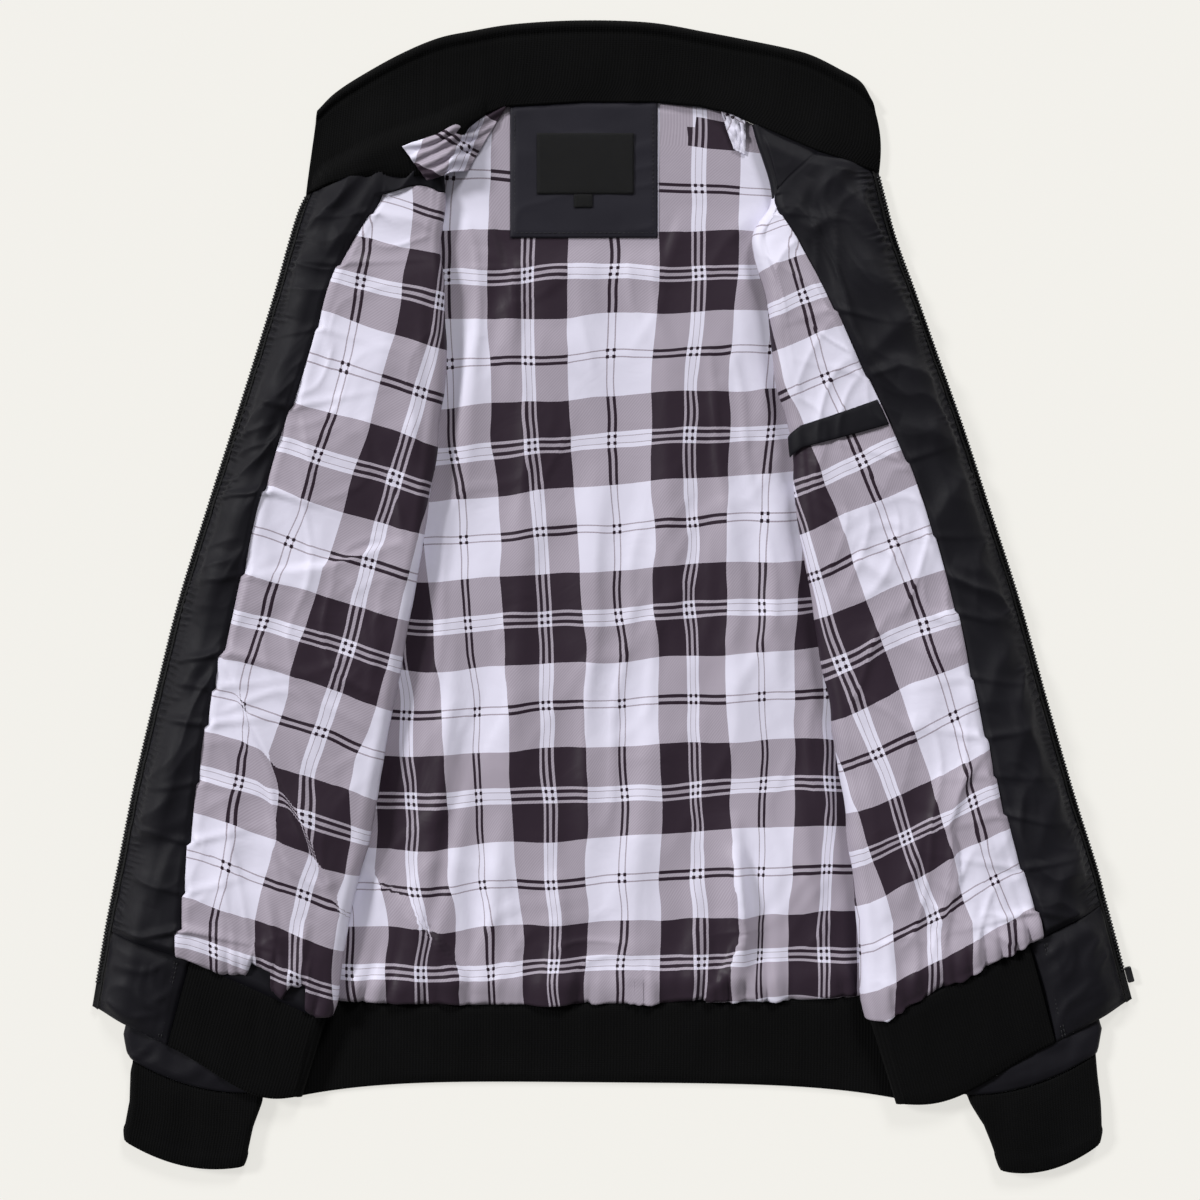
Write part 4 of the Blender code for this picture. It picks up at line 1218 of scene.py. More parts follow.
class ShaderLibrary:
    """The node groups that more than one finish uses."""

    def __init__(self) -> None:
        """Build every group."""
        self.weave = self.make_weave()
        self.crumple = self.make_crumple()
        self.plaid = self.make_plaid()
        self.shade = self.make_shade()

    @staticmethod
    def make_weave() -> bpy.types.NodeTree:
        """Height of a plain weave from cloth coordinates in millimetres."""
        group = ShaderGroup("plain_weave")
        vector = group.take("Cloth", "Vector")
        pitch = group.take("Pitch", "Float", 0.6)
        split = group.node("ShaderNodeSeparateXYZ")
        group.tree.links.new(vector, split.inputs[0])
        turns = group.math("DIVIDE", math.tau, pitch)
        warp = group.math("SINE", group.math("MULTIPLY", split.outputs[0], turns))
        weft = group.math("SINE", group.math("MULTIPLY", split.outputs[1], turns))
        height = group.math("MULTIPLY_ADD", group.math("MULTIPLY", warp, weft), 0.5, 0.5)
        group.give("Height", "Float", height)
        return group.tree

    @staticmethod
    def make_crumple() -> bpy.types.NodeTree:
        """Small soft creases, from object coordinates."""
        group = ShaderGroup("small_creases")
        size = group.take("Scale", "Float", 60.0)
        group.give("Soft", "Float", group.object_noise(size, 3.0, 1.4))
        return group.tree

    @staticmethod
    def make_shade() -> bpy.types.NodeTree:
        """Slow changes of a colour over a piece, from object coordinates."""
        group = ShaderGroup("uneven_colour")
        colour = group.take("Color", "Color", grey(0.5))
        amount = group.take("Amount", "Float", 0.2)
        size = group.take("Scale", "Float", 18.0)
        change = group.math("MULTIPLY", group.math("SUBTRACT", group.object_noise(size, 4.0), 0.5), amount)
        bright = group.math("MULTIPLY_ADD", change, 2.0, 1.0)
        scale = group.node("ShaderNodeVectorMath", operation="SCALE")
        group.tree.links.new(colour, scale.inputs[0])
        group.tree.links.new(bright, scale.inputs["Scale"])
        group.give("Color", "Color", scale.outputs[0])
        return group.tree

    @staticmethod
    def make_plaid() -> bpy.types.NodeTree:
        """Plaid from plaid coordinates in repeats: the mean of a warp and a weft profile."""
        group = ShaderGroup("woven_plaid")
        vector = group.take("Plaid", "Vector")
        dark = group.take("Dark", "Color", grey(0.03))
        middle = group.take("Middle", "Color", grey(0.4))
        light = group.take("Light", "Color", grey(0.8))
        hatch_depth = group.take("Hatch", "Float", 0.2)
        split = group.node("ShaderNodeSeparateXYZ")
        group.tree.links.new(vector, split.inputs[0])
        full, hairline = [], []
        for axis in (0, 1):
            place = group.math("FRACT", split.outputs[axis])
            for profile, stops in ((full, PlaidProfile.FULL), (hairline, PlaidProfile.HAIRLINE)):
                ramp = group.node("ShaderNodeValToRGB")
                set_ramp(ramp, tuple((position, grey(value)) for position, value in stops), "CONSTANT")
                group.tree.links.new(place, ramp.inputs[0])
                profile.append(ramp.outputs[0])
        threads = []
        for axis in (0, 1):
            thinner = group.math("SUBTRACT", hairline[axis], full[axis])
            threads.append(group.math("MULTIPLY_ADD", thinner, full[1 - axis], full[axis]))
        mean = group.math("MULTIPLY", group.math("ADD", threads[0], threads[1]), 0.5)
        diagonal = group.math("ADD", split.outputs[0], split.outputs[1])
        hatch = group.math("SINE", group.math("MULTIPLY", diagonal, math.tau * HATCH_LINES))
        off_middle = group.math("ABSOLUTE", group.math("MULTIPLY_ADD", mean, 2.0, -1.0))
        half = group.math("SUBTRACT", 1.0, off_middle)
        hatch = group.math("MULTIPLY", group.math("MULTIPLY", hatch, half), hatch_depth)
        lower = group.node("ShaderNodeMix", data_type="RGBA")
        upper = group.node("ShaderNodeMix", data_type="RGBA")
        group.tree.links.new(group.math("MULTIPLY", mean, 2.0), lower.inputs["Factor"])
        group.tree.links.new(dark, lower.inputs["A"])
        group.tree.links.new(middle, lower.inputs["B"])
        group.tree.links.new(group.math("MULTIPLY_ADD", mean, 2.0, -1.0), upper.inputs["Factor"])
        group.tree.links.new(lower.outputs["Result"], upper.inputs["A"])
        group.tree.links.new(light, upper.inputs["B"])
        bright = group.node("ShaderNodeVectorMath", operation="SCALE")
        group.tree.links.new(upper.outputs["Result"], bright.inputs[0])
        group.tree.links.new(group.math("ADD", hatch, 1.0), bright.inputs["Scale"])
        group.give("Color", "Color", bright.outputs[0])
        group.give("Hatch", "Float", hatch)
        return group.tree


class Finish:
    """Base of the finishes: makes a material and its links."""

    def start(self, name: str) -> tuple[bpy.types.Material, bpy.types.NodeTree, bpy.types.Node]:
        """Make a material.

        Args:
            name: the material's name.

        Returns:
            The material, its tree and its shader.
        """
        material = bpy.data.materials.new(name)
        material.use_nodes = True
        tree = material.node_tree
        return material, tree, tree.nodes["Principled BSDF"]

    @staticmethod
    def group(tree: bpy.types.NodeTree, source: bpy.types.NodeTree, **values: object) -> bpy.types.Node:
        """Place a node group with its own values.

        Args:
            tree: where to.
            source: the group.
            values: number, colour or socket of each input, by name.

        Returns:
            The group's node.
        """
        node = add_node(tree, "ShaderNodeGroup")
        node.node_tree = source
        for key, value in values.items():
            if isinstance(value, bpy.types.NodeSocket):
                tree.links.new(value, node.inputs[key])
            else:
                node.inputs[key].default_value = value
        return node

    @staticmethod
    def bump(tree: bpy.types.NodeTree, height: bpy.types.NodeSocket, distance: float, strength: float,
             below: bpy.types.Node | None = None) -> bpy.types.Node:
        """Add a bump node.

        Args:
            tree: where to.
            height: what it reads.
            distance: depth in metres.
            strength: share of it.
            below: bump that it adds to.

        Returns:
            The bump node.
        """
        node = add_node(tree, "ShaderNodeBump")
        node.inputs["Distance"].default_value = distance
        node.inputs["Strength"].default_value = strength
        tree.links.new(height, node.inputs["Height"])
        if below is not None:
            tree.links.new(below.outputs[0], node.inputs["Normal"])
        return node

    @staticmethod
    def attribute(tree: bpy.types.NodeTree, name: str) -> bpy.types.NodeSocket:
        """Vector of a piece's attribute."""
        node = add_node(tree, "ShaderNodeAttribute", attribute_name=name)
        return node.outputs["Vector"]


@dataclass(frozen=True)
class ShellCloth(Finish):
    """Smooth black polyester with a soft sheen and small creases."""

    name: str = "shell_cloth"
    colour: tuple[float, float, float, float] = (0.0062, 0.0058, 0.0088, 1.0)
    roughness: float = 0.58
    sheen: float = 0.012
    crease_depth: float = 0.0003

    def build(self, library: ShaderLibrary) -> bpy.types.Material:
        """Make the material."""
        material, tree, shader = self.start(self.name)
        cloth = self.attribute(tree, "cloth")
        shade = self.group(tree, library.shade, Color=self.colour, Amount=0.22, Scale=22.0)
        tree.links.new(shade.outputs[0], shader.inputs["Base Color"])
        weave = self.group(tree, library.weave, Cloth=cloth, Pitch=0.7)
        creases = self.group(tree, library.crumple, Scale=34.0)
        fine = self.group(tree, library.crumple, Scale=120.0)
        bump = self.bump(tree, creases.outputs["Soft"], self.crease_depth, 0.6)
        bump = self.bump(tree, fine.outputs["Soft"], 0.0001, 0.2, bump)
        bump = self.bump(tree, weave.outputs["Height"], 0.0001, 0.25, bump)
        tree.links.new(bump.outputs[0], shader.inputs["Normal"])
        rough = add_math(tree, "MULTIPLY_ADD", fine.outputs["Soft"], 0.12, self.roughness - 0.06)
        tree.links.new(rough, shader.inputs["Roughness"])
        shader.inputs["Sheen Weight"].default_value = self.sheen
        shader.inputs["Sheen Roughness"].default_value = 0.45
        shader.inputs["Sheen Tint"].default_value = (0.75, 0.78, 1.0, 1.0)
        shader.inputs["Specular IOR Level"].default_value = 0.16
        return material


@dataclass(frozen=True)
class RibKnit(Finish):
    """Matt black fine rib knit; its grooves carry painted shade, a darker colour than its ridges."""

    colour: tuple[float, float, float, float] = (0.0036, 0.0036, 0.0038, 1.0)
    # painted shade: the grooves' colour, darker than the ridges', stands in for the shade between the ribs
    painted_groove_shade: tuple[float, float, float, float] = (0.0024, 0.0024, 0.0025, 1.0)
    stitch: float = 1.3

    def build(self, library: ShaderLibrary) -> bpy.types.Material:
        """Make the material."""
        material, tree, shader = self.start("rib_knit")
        cloth = self.attribute(tree, "cloth")
        split = add_node(tree, "ShaderNodeSeparateXYZ")
        tree.links.new(cloth, split.inputs[0])
        across = add_math(tree, "MULTIPLY", split.outputs[0], math.tau / RIB_PITCH)
        rib = add_math(tree, "MULTIPLY_ADD", add_math(tree, "COSINE", across), 0.5, 0.5)
        # Painted shade: the grooves between the ribs take the darker colour
        mix = add_node(tree, "ShaderNodeMix", data_type="RGBA")
        tree.links.new(rib, mix.inputs["Factor"])
        mix.inputs["A"].default_value = self.painted_groove_shade
        mix.inputs["B"].default_value = self.colour
        shade = self.group(tree, library.shade, Amount=0.3, Scale=25.0)
        tree.links.new(mix.outputs["Result"], shade.inputs["Color"])
        tree.links.new(shade.outputs[0], shader.inputs["Base Color"])
        bend = add_math(tree, "ABSOLUTE", add_math(tree, "SINE", across))
        down = add_math(tree, "MULTIPLY", split.outputs[1], math.tau / self.stitch)
        slant = add_math(tree, "MULTIPLY_ADD", bend, 2.2, down)
        stitch = add_math(tree, "MULTIPLY_ADD", add_math(tree, "SINE", slant), 0.5, 0.5)
        bump = self.bump(tree, rib, 0.0005, 0.5)
        bump = self.bump(tree, stitch, 0.0003, 0.5, bump)
        tree.links.new(bump.outputs[0], shader.inputs["Normal"])
        tree.links.new(add_math(tree, "MULTIPLY_ADD", stitch, -0.1, 0.95), shader.inputs["Roughness"])
        shader.inputs["Sheen Weight"].default_value = 0.012
        shader.inputs["Sheen Roughness"].default_value = 0.6
        shader.inputs["Specular IOR Level"].default_value = 0.05
        return material


@dataclass(frozen=True)
class PlaidLining(Finish):
    """Satin lining in a woven plaid of plum black, grey and white."""

    dark: tuple[float, float, float, float] = (0.012, 0.003, 0.011, 1.0)
    middle: tuple[float, float, float, float] = (0.365, 0.322, 0.385, 1.0)
    light: tuple[float, float, float, float] = (0.71, 0.69, 0.82, 1.0)

    def build(self, library: ShaderLibrary) -> bpy.types.Material:
        """Make the material."""
        material, tree, shader = self.start("plaid_lining")
        plaid = self.group(tree, library.plaid, Plaid=self.attribute(tree, "plaid"), Dark=self.dark,
                           Middle=self.middle, Light=self.light, Hatch=0.1)
        shade = self.group(tree, library.shade, Amount=0.1, Scale=14.0)
        tree.links.new(plaid.outputs["Color"], shade.inputs["Color"])
        tree.links.new(shade.outputs[0], shader.inputs["Base Color"])
        creases = self.group(tree, library.crumple, Scale=24.0)
        fine = self.group(tree, library.crumple, Scale=90.0)
        bump = self.bump(tree, creases.outputs["Soft"], 0.0012, 0.5)
        bump = self.bump(tree, fine.outputs["Soft"], 0.0004, 0.2, bump)
        bump = self.bump(tree, plaid.outputs["Hatch"], 0.0003, 0.3, bump)
        tree.links.new(bump.outputs[0], shader.inputs["Normal"])
        rough = add_math(tree, "MULTIPLY_ADD", fine.outputs["Soft"], 0.14, 0.42)
        tree.links.new(rough, shader.inputs["Roughness"])
        shader.inputs["Sheen Weight"].default_value = 0.02
        shader.inputs["Specular IOR Level"].default_value = 0.2
        return material


@dataclass(frozen=True)
class TapeCloth(Finish):
    """Black woven tape, of the zip or of a label."""

    name: str
    colour: tuple[float, float, float, float] = (0.008, 0.008, 0.0085, 1.0)
    pitch: float = 1.1

    def build(self, library: ShaderLibrary) -> bpy.types.Material:
        """Make the material."""
        material, tree, shader = self.start(self.name)
        cloth = self.attribute(tree, "cloth")
        split = add_node(tree, "ShaderNodeSeparateXYZ")
        tree.links.new(cloth, split.inputs[0])
        zigzag = add_math(tree, "PINGPONG", split.outputs[0], 1.2)
        slant = add_math(tree, "ADD", split.outputs[1], zigzag)
        twill = add_math(tree, "MULTIPLY_ADD", add_math(tree, "SINE", add_math(
            tree, "MULTIPLY", slant, math.tau / self.pitch)), 0.5, 0.5)
        shade = self.group(tree, library.shade, Color=self.colour, Amount=0.25, Scale=30.0)
        tree.links.new(shade.outputs[0], shader.inputs["Base Color"])
        bump = self.bump(tree, twill, 0.0003, 0.6)
        tree.links.new(bump.outputs[0], shader.inputs["Normal"])
        tree.links.new(add_math(tree, "MULTIPLY_ADD", twill, -0.15, 0.8), shader.inputs["Roughness"])
        shader.inputs["Sheen Weight"].default_value = 0.02
        shader.inputs["Specular IOR Level"].default_value = 0.2
        return material


@dataclass(frozen=True)
class HardFinish(Finish):
    """Plastic, painted metal or thread: a plain colour with grain and wear."""

    name: str
    colour: tuple[float, float, float, float]
    roughness: float
    metallic: float = 0.0
    grain: float = 900.0

    def build(self, library: ShaderLibrary) -> bpy.types.Material:
        """Make the material."""
        material, tree, shader = self.start(self.name)
        shade = self.group(tree, library.shade, Color=self.colour, Amount=0.3, Scale=60.0)
        tree.links.new(shade.outputs[0], shader.inputs["Base Color"])
        grain = self.group(tree, library.crumple, Scale=self.grain)
        bump = self.bump(tree, grain.outputs["Soft"], 0.0001, 0.3)
        tree.links.new(bump.outputs[0], shader.inputs["Normal"])
        rough = add_math(tree, "MULTIPLY_ADD", grain.outputs["Soft"], 0.2, self.roughness - 0.1)
        tree.links.new(rough, shader.inputs["Roughness"])
        shader.inputs["Metallic"].default_value = self.metallic
        return material


@dataclass(frozen=True)
class FloorFinish(Finish):
    """Plain pale floor; a part of it glows, so that shadows on it stay faint."""

    glow: float = 0.75
    colour: tuple[float, float, float, float] = (0.90, 0.885, 0.84, 1.0)

    def build(self, library: ShaderLibrary) -> bpy.types.Material:
        """Make the material."""
        material, tree, shader = self.start("pale_floor")
        lit = tuple(value * (1.0 - self.glow) for value in self.colour[:3]) + (1.0,)
        shade = self.group(tree, library.shade, Color=lit, Amount=0.004, Scale=3.0)
        tree.links.new(shade.outputs[0], shader.inputs["Base Color"])
        shader.inputs["Emission Color"].default_value = self.colour
        shader.inputs["Emission Strength"].default_value = self.glow
        shader.inputs["Roughness"].default_value = 0.9
        shader.inputs["Specular IOR Level"].default_value = 0.1
        return material


@dataclass
class Wardrobe:
    """The materials, by use."""

    shell: bpy.types.Material
    patch: bpy.types.Material
    rib: bpy.types.Material
    lining: bpy.types.Material
    tape: bpy.types.Material
    label: bpy.types.Material
    tooth: bpy.types.Material
    metal: bpy.types.Material
    thread: bpy.types.Material
    floor: bpy.types.Material

    @classmethod
    def build(cls) -> "Wardrobe":
        """Make every material."""
        library = ShaderLibrary()
        return cls(
            shell=ShellCloth().build(library),
            patch=ShellCloth("patch_cloth", (0.0165, 0.0155, 0.0225, 1.0)).build(library),
            rib=RibKnit().build(library),
            lining=PlaidLining().build(library),
            tape=TapeCloth("zip_tape").build(library),
            label=TapeCloth("label_tape", (0.006, 0.006, 0.0065, 1.0), 0.8).build(library),
            tooth=HardFinish("zip_teeth", (0.010, 0.010, 0.011, 1.0), 0.38).build(library),
            metal=HardFinish("painted_metal", (0.016, 0.016, 0.018, 1.0), 0.34, 0.4).build(library),
            thread=HardFinish("black_thread", (0.012, 0.012, 0.014, 1.0), 0.6).build(library),
            floor=FloorFinish().build(library),
        )


# ---------------------------------------------------------------- pieces


@dataclass
class Sheet:
    """A piece of cloth: a grid of points on its hidden face, grown along its normals.

    The grid's weave coordinates are measured in millimetres, its plaid coordinates in repeats.
    """

    name: str
    points: Array
    normals: Array
    wall: Array | float
    material: bpy.types.Material
    keep: Array | None = None
    plaid: tuple[Array, Array] | None = None
    closed: bool = False

    def build(self) -> bpy.types.Object:
        """Make the closed shell.

        Returns:
            The piece, at the origin.
        """
        rows, columns = self.points.shape[:2]
        count = rows * columns
        outer = self.points + self.normals * np.broadcast_to(self.wall, (rows, columns))[..., None]
        index = np.arange(count).reshape(rows, columns)
        if self.closed:
            index = index.copy()
            index[:, -1] = index[:, 0]
        quads = np.stack([index[:-1, :-1], index[:-1, 1:], index[1:, 1:], index[1:, :-1]], axis=-1)
        quads = quads[self.keep] if self.keep is not None else quads.reshape(-1, 4)
        flat = outer.reshape(-1, 3)
        side = np.cross(flat[quads[:, 2]] - flat[quads[:, 0]], flat[quads[:, 3]] - flat[quads[:, 1]])
        lift = (self.normals.reshape(-1, 3))[quads[:, 0]]
        if np.sum(side * lift) < 0:
            quads = quads[:, ::-1]
        edges = np.concatenate([quads[:, [corner, (corner + 1) % 4]] for corner in range(4)])
        code, back = edges[:, 0] * count + edges[:, 1], edges[:, 1] * count + edges[:, 0]
        border = edges[~np.isin(code, back)]
        first, second = border.T
        rim = np.stack([second, first, first + count, second + count], axis=-1)
        faces = np.concatenate([quads, quads[:, ::-1] + count, rim])
        vertices = np.concatenate([flat, self.points.reshape(-1, 3)])
        used, faces = np.unique(faces, return_inverse=True)
        faces = faces.reshape(-1, 4)
        mesh = bpy.data.meshes.new(self.name)
        mesh.from_pydata((vertices[used] * MM).tolist(), [], faces.tolist())
        weave = stack(run_length(self.points, 1), run_length(self.points, 0), np.zeros((rows, columns)))
        self.store(mesh, "cloth", weave, used)
        if self.plaid is not None:
            self.store(mesh, "plaid", stack(*self.plaid, np.zeros((rows, columns))), used)
        mesh.shade_smooth()
        mesh.materials.append(self.material)
        piece = bpy.data.objects.new(self.name, mesh)
        bpy.context.scene.collection.objects.link(piece)
        return piece

    @staticmethod
    def store(mesh: bpy.types.Mesh, name: str, values: Array, used: Array) -> None:
        """Write coordinates on both faces of the shell.

        Args:
            mesh: the mesh.
            name: the attribute's name.
            values: coordinates of the grid's points.
            used: indexes of the vertices that the mesh keeps.
        """
        both = np.concatenate([values.reshape(-1, 3)] * 2)[used]
        attribute = mesh.attributes.new(name, "FLOAT_VECTOR", "POINT")
        attribute.data.foreach_set("vector", both.astype(np.float32).ravel())


def edge_fade(rows: int, columns: int, cells: float, sides: str = "lrtb") -> Array:
    """Ease from 0 at a grid's edges to 1 inside.

    Args:
        rows: rows of the grid.
        columns: columns of the grid.
        cells: width of the ease, in cells.
        sides: which edges: l, r, t, b.

    Returns:
        A value for each point.
    """
    row, column = np.meshgrid(np.arange(rows), np.arange(columns), indexing="ij")
    fade = np.ones((rows, columns))
    distances = {"l": column, "r": columns - 1 - column, "t": row, "b": rows - 1 - row}
    for side, distance in distances.items():
        if side in sides:
            fade = fade * smoothstep(distance / cells)
    return fade


class Tailor:
    """Attaches the pieces to the jacket's body and hides the CAD nodes that they replace."""

    def sheet(self, sheet: Sheet, node: str, slot: str, held: str, rests_on: tuple[str, ...]) -> None:
        """Build a sheet in place of a CAD node.

        Args:
            sheet: the sheet.
            node: the node that it replaces.
            slot: the record's material slot.
            held: how it lies; not used.
            rests_on: nodes beneath it; not used.
        """
        piece = sheet.build()
        self.declare(piece, slot, node)

    def declare(self, piece: bpy.types.Object, slot: str, node: str | None = None) -> None:
        """Attach a piece to the jacket's one body and hide the node that it replaces.

        Args:
            piece: the piece.
            slot: the record's material slot; not used.
            node: the CAD node that it replaces, if any.
        """
        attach(piece, "root")
        if node is not None:
            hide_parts(node)
        LOG.info("%s: %d faces", piece.name, len(piece.data.polygons))


@dataclass
class OpenedFront:
    """One front, turned open: shell, facing, lining, hem band and zip tape."""

    form: FrontForm
    wardrobe: Wardrobe
    tailor: Tailor

    def relief(self, station: Array, row: Array, points: Array) -> Array:
        """Creases and soft waves of the skins on the top layer.

        Args:
            station: place across.
            row: place down.
            points: the skin's points.

        Returns:
            Height to add.
        """
        side, x, y = self.form.side, points[..., 0], points[..., 1]
        from_zip = np.hypot(x - self.form.value(row, "zip_x"), y - self.form.value(row, "zip_y"))
        from_seam = np.abs(x - self.form.value(row, "seam_x"))
        strip = np.maximum(smoothstep((1.04 - station) / 0.08), smoothstep((1.04 - row) / 0.06))
        height = crease_relief(FRONT_CREASES[side], x, y) + layered(FACING_LAYERS[side], x, y) * strip
        height = height + layered(LINING_LAYERS[side], x, y) * (1.0 - strip)
        height = height + self.pleat_folds(y, from_seam)
        yoke = smoothstep((1.05 - row) / 0.08)
        seam_dip = np.maximum(0.3 + 0.7 * smoothstep(from_seam / 5.0), yoke)
        height = height * seam_dip * (0.25 + 0.75 * smoothstep((from_zip - TAPE - 4.0) / 9.0))
        height = height + ZipPuckers(SEEDS[side].puckers).relief(y, from_zip) * strip
        zip_fade = smoothstep((from_zip - TAPE) / 2.5)
        fold_fade = 0.25 + 0.75 * smoothstep((2.0 - station) / 0.12)
        ends = smoothstep(row / 0.3) * smoothstep((HEM_ROW - row) / 0.1)
        return height * zip_fade * fold_fade * ends

    def pleat_folds(self, y: Array, from_seam: Array) -> Array:
        """Height of the folds that run out from the pleats in the facing's seam.

        Args:
            y: plan coordinate.
            from_seam: distance from the seam.

        Returns:
            Height at each point.
        """
        height = np.zeros_like(y)
        for place, depth in PLEATS[self.form.side]:
            run = y - place + 0.28 * from_seam * math.sin(place * 7.7)
            fold = np.exp(-np.where(run > 0, run / 3.6, -run / 1.8) ** 2)
            height += 0.8 * depth * fold * np.exp(-from_seam / PLEAT_FOLD)
        return height

    def pleat_step(self, y: Array) -> Array:
        """How far the lining's edge lies over the facing at a Y: a step at each pleat, easing back."""
        places = [place for place, _ in PLEATS[self.form.side]][::-1]
        depths = [depth for _, depth in PLEATS[self.form.side]][::-1]
        below = np.clip(np.searchsorted(places, y, side="left"), 1, len(places) - 1)
        upper, lower = np.array(places)[below], np.array(places)[below - 1]
        share = np.clip((upper - y) / np.maximum(upper - lower, 1.0), 0.0, 1.0)
        inside = (y < places[-1]) & (y > places[0])
        step = np.array(depths)[below] * smoothstep((upper - y) / 1.6) * (1.0 - share) ** 0.8
        return np.where(inside, step, 0.0)

    def shell(self) -> None:
        """Shell: over the sleeve, round the fold, back under it and round the side."""
        rows = spread((0.0, 1.0, 8), (1.0, HEM_ROW - SEAM, 100))
        across = spread((1.0, 2.0, 16), (2.0, 3.0, 10), (3.0, 4.0, 10), (4.0, 5.0, 8), (5.0, 6.0, 2))
        start = self.form.station_at(TAPE_OVER_SHELL, rows)
        strip = start[:, None] + (1.0 - start[:, None]) * np.linspace(0.0, 1.0, 16)[None, :-1]
        station = np.concatenate([strip, np.broadcast_to(across, (len(rows), len(across)))], axis=1)
        row = np.broadcast_to(rows[:, None], station.shape)
        points, normals = self.form.face(station, row), self.form.normal(station, row)
        name = self.form.side.value
        sheet = Sheet(f"{name}_shell_cloth", points, normals, SHELL, self.wardrobe.shell)
        self.tailor.sheet(sheet, f"{name}_front_shell", "shell", "folded", (f"{name}_sleeve",))

    def facing(self) -> None:
        """Facing: a puffy strip beside the zip that widens into a yoke at the neck."""
        yoke_rows, panel_rows = 34, 500
        rows = spread((0.0, 1.0, yoke_rows), (1.0, HEM_ROW - SEAM, panel_rows))
        strip_columns = 38
        across = spread((1.0, 2.0, 40), (2.0, 2.6, 8))
        start = self.form.station_at(TAPE + GAP, rows)
        share = np.linspace(0.0, 1.0, strip_columns + 1)
        strip = start[:, None] + (1.0 - SEAM - start[:, None]) * share[None, :]
        yoke = np.broadcast_to(across[1:], (len(rows), len(across) - 1)).copy()
        station = np.concatenate([strip, yoke], axis=1)
        row = np.repeat(rows[:, None], station.shape[1], axis=1)
        row[yoke_rows, strip_columns + 1:] -= YOKE_EDGE
        points = self.form.face(station, row)
        normals = self.form.normal(station, row)
        keep = np.ones((len(rows) - 1, station.shape[1] - 1), bool)
        keep[yoke_rows:, strip_columns:] = False
        lift = LIFT_LINING + self.relief(station, row, points)
        points = points + normals * lift[..., None]
        fade = edge_fade(len(rows), strip_columns + 1, 2.0, "lr")
        wall = np.full(station.shape, FACING)
        wall[:, : strip_columns + 1] = FACING * (0.45 + 0.55 * fade)
        name = self.form.side.value
        sheet = Sheet(f"{name}_facing_cloth", points, normals, wall, self.wardrobe.shell, keep)
        self.tailor.sheet(sheet, f"{name}_facing", "shell", "laid", (f"{name}_front_shell",))

    def lining(self) -> None:
        """Lining: from the facing seam over the fold and a little beneath, bloused over the rib."""
        rows = spread((1.0 + SEAM, 10.2, 262), (10.2, HEM_ROW - SEAM, 52))
        across = spread((1.0 + SEAM, 2.0, 72), (2.0, 3.0, 12), (3.0, 3.25, 2))
        station, row = np.meshgrid(across, rows)
        seed = SEEDS[self.form.side].lining
        hem_x = self.form.face(station, np.full_like(row, HEM_ROW))[..., 0]
        bare = smoothstep((2.75 - station) / 0.2)
        blouse = HemBlouse(seed, HEM_FALLS[self.form.side.value], 11.0, 4.0, 11.0)
        row = row + blouse.overhang(hem_x, (HEM_ROW - row) * HEM_ROW_LENGTH) * bare / HEM_ROW_LENGTH
        points = self.form.face(station, row)
        normals = self.form.normal(station, row)
        above_hem = (HEM_ROW - rows)[:, None] * HEM_ROW_LENGTH
        relief = self.relief(np.minimum(station, 2.0), np.minimum(row, HEM_ROW), points)
        folded = smoothstep((station - 1.85) / 0.15) * smoothstep((2.9 - station) / 0.3)
        bumps = SoftNoise(seed + 2).at(points[..., 1] / 24.0, station * 2.0) * 2.2 * folded
        swell = blouse.swell(hem_x, above_hem) * bare
        extra = relief * smoothstep((2.2 - station) / 0.2) + bumps * smoothstep(above_hem / 8.0)
        step = self.pleat_step(points[..., 1])
        seam_run = np.abs(points[..., 0] - points[:, :1, 0])
        edge = np.exp(-((seam_run / 4.0) ** 2))
        lift = LIFT_LINING + extra * smoothstep(above_hem / 14.0) + swell + edge * smoothstep(step) * 1.3
        slope_across = np.gradient(extra, axis=1) / np.gradient(points[..., 0], axis=1)
        slope_down = np.gradient(extra, axis=0) / np.minimum(np.gradient(points[..., 1], axis=0), -0.1)
        x, y = points[..., 0], points[..., 1]
        drift_x, drift_y = weave_drift(x, y, slope_across, slope_down, seed + 4)
        shift_x, shift_y = crease_shift(FRONT_CREASES[self.form.side], x, y)
        drift_x, drift_y = drift_x + shift_x, drift_y + shift_y
        plaid = self.form.plaid(drift_x, drift_y)
        turn = np.where(station > 2.0, (station - 2.0) * math.pi * self.form.turn_radius(row), 0.0)
        plaid = (plaid[0] + self.form.inward * turn / PLAID_REPEAT, plaid[1])
        points = points + normals * lift[..., None]
        points[..., 0] -= self.form.inward * step * edge
        wall = LINING * (0.5 + 0.5 * edge_fade(*station.shape, 2.0))
        name = self.form.side.value
        sheet = Sheet(f"{name}_lining_cloth", points, normals, wall, self.wardrobe.lining, plaid=plaid)
        self.tailor.sheet(sheet, f"{name}_lining", "lining", "laid", (f"{name}_front_shell",))

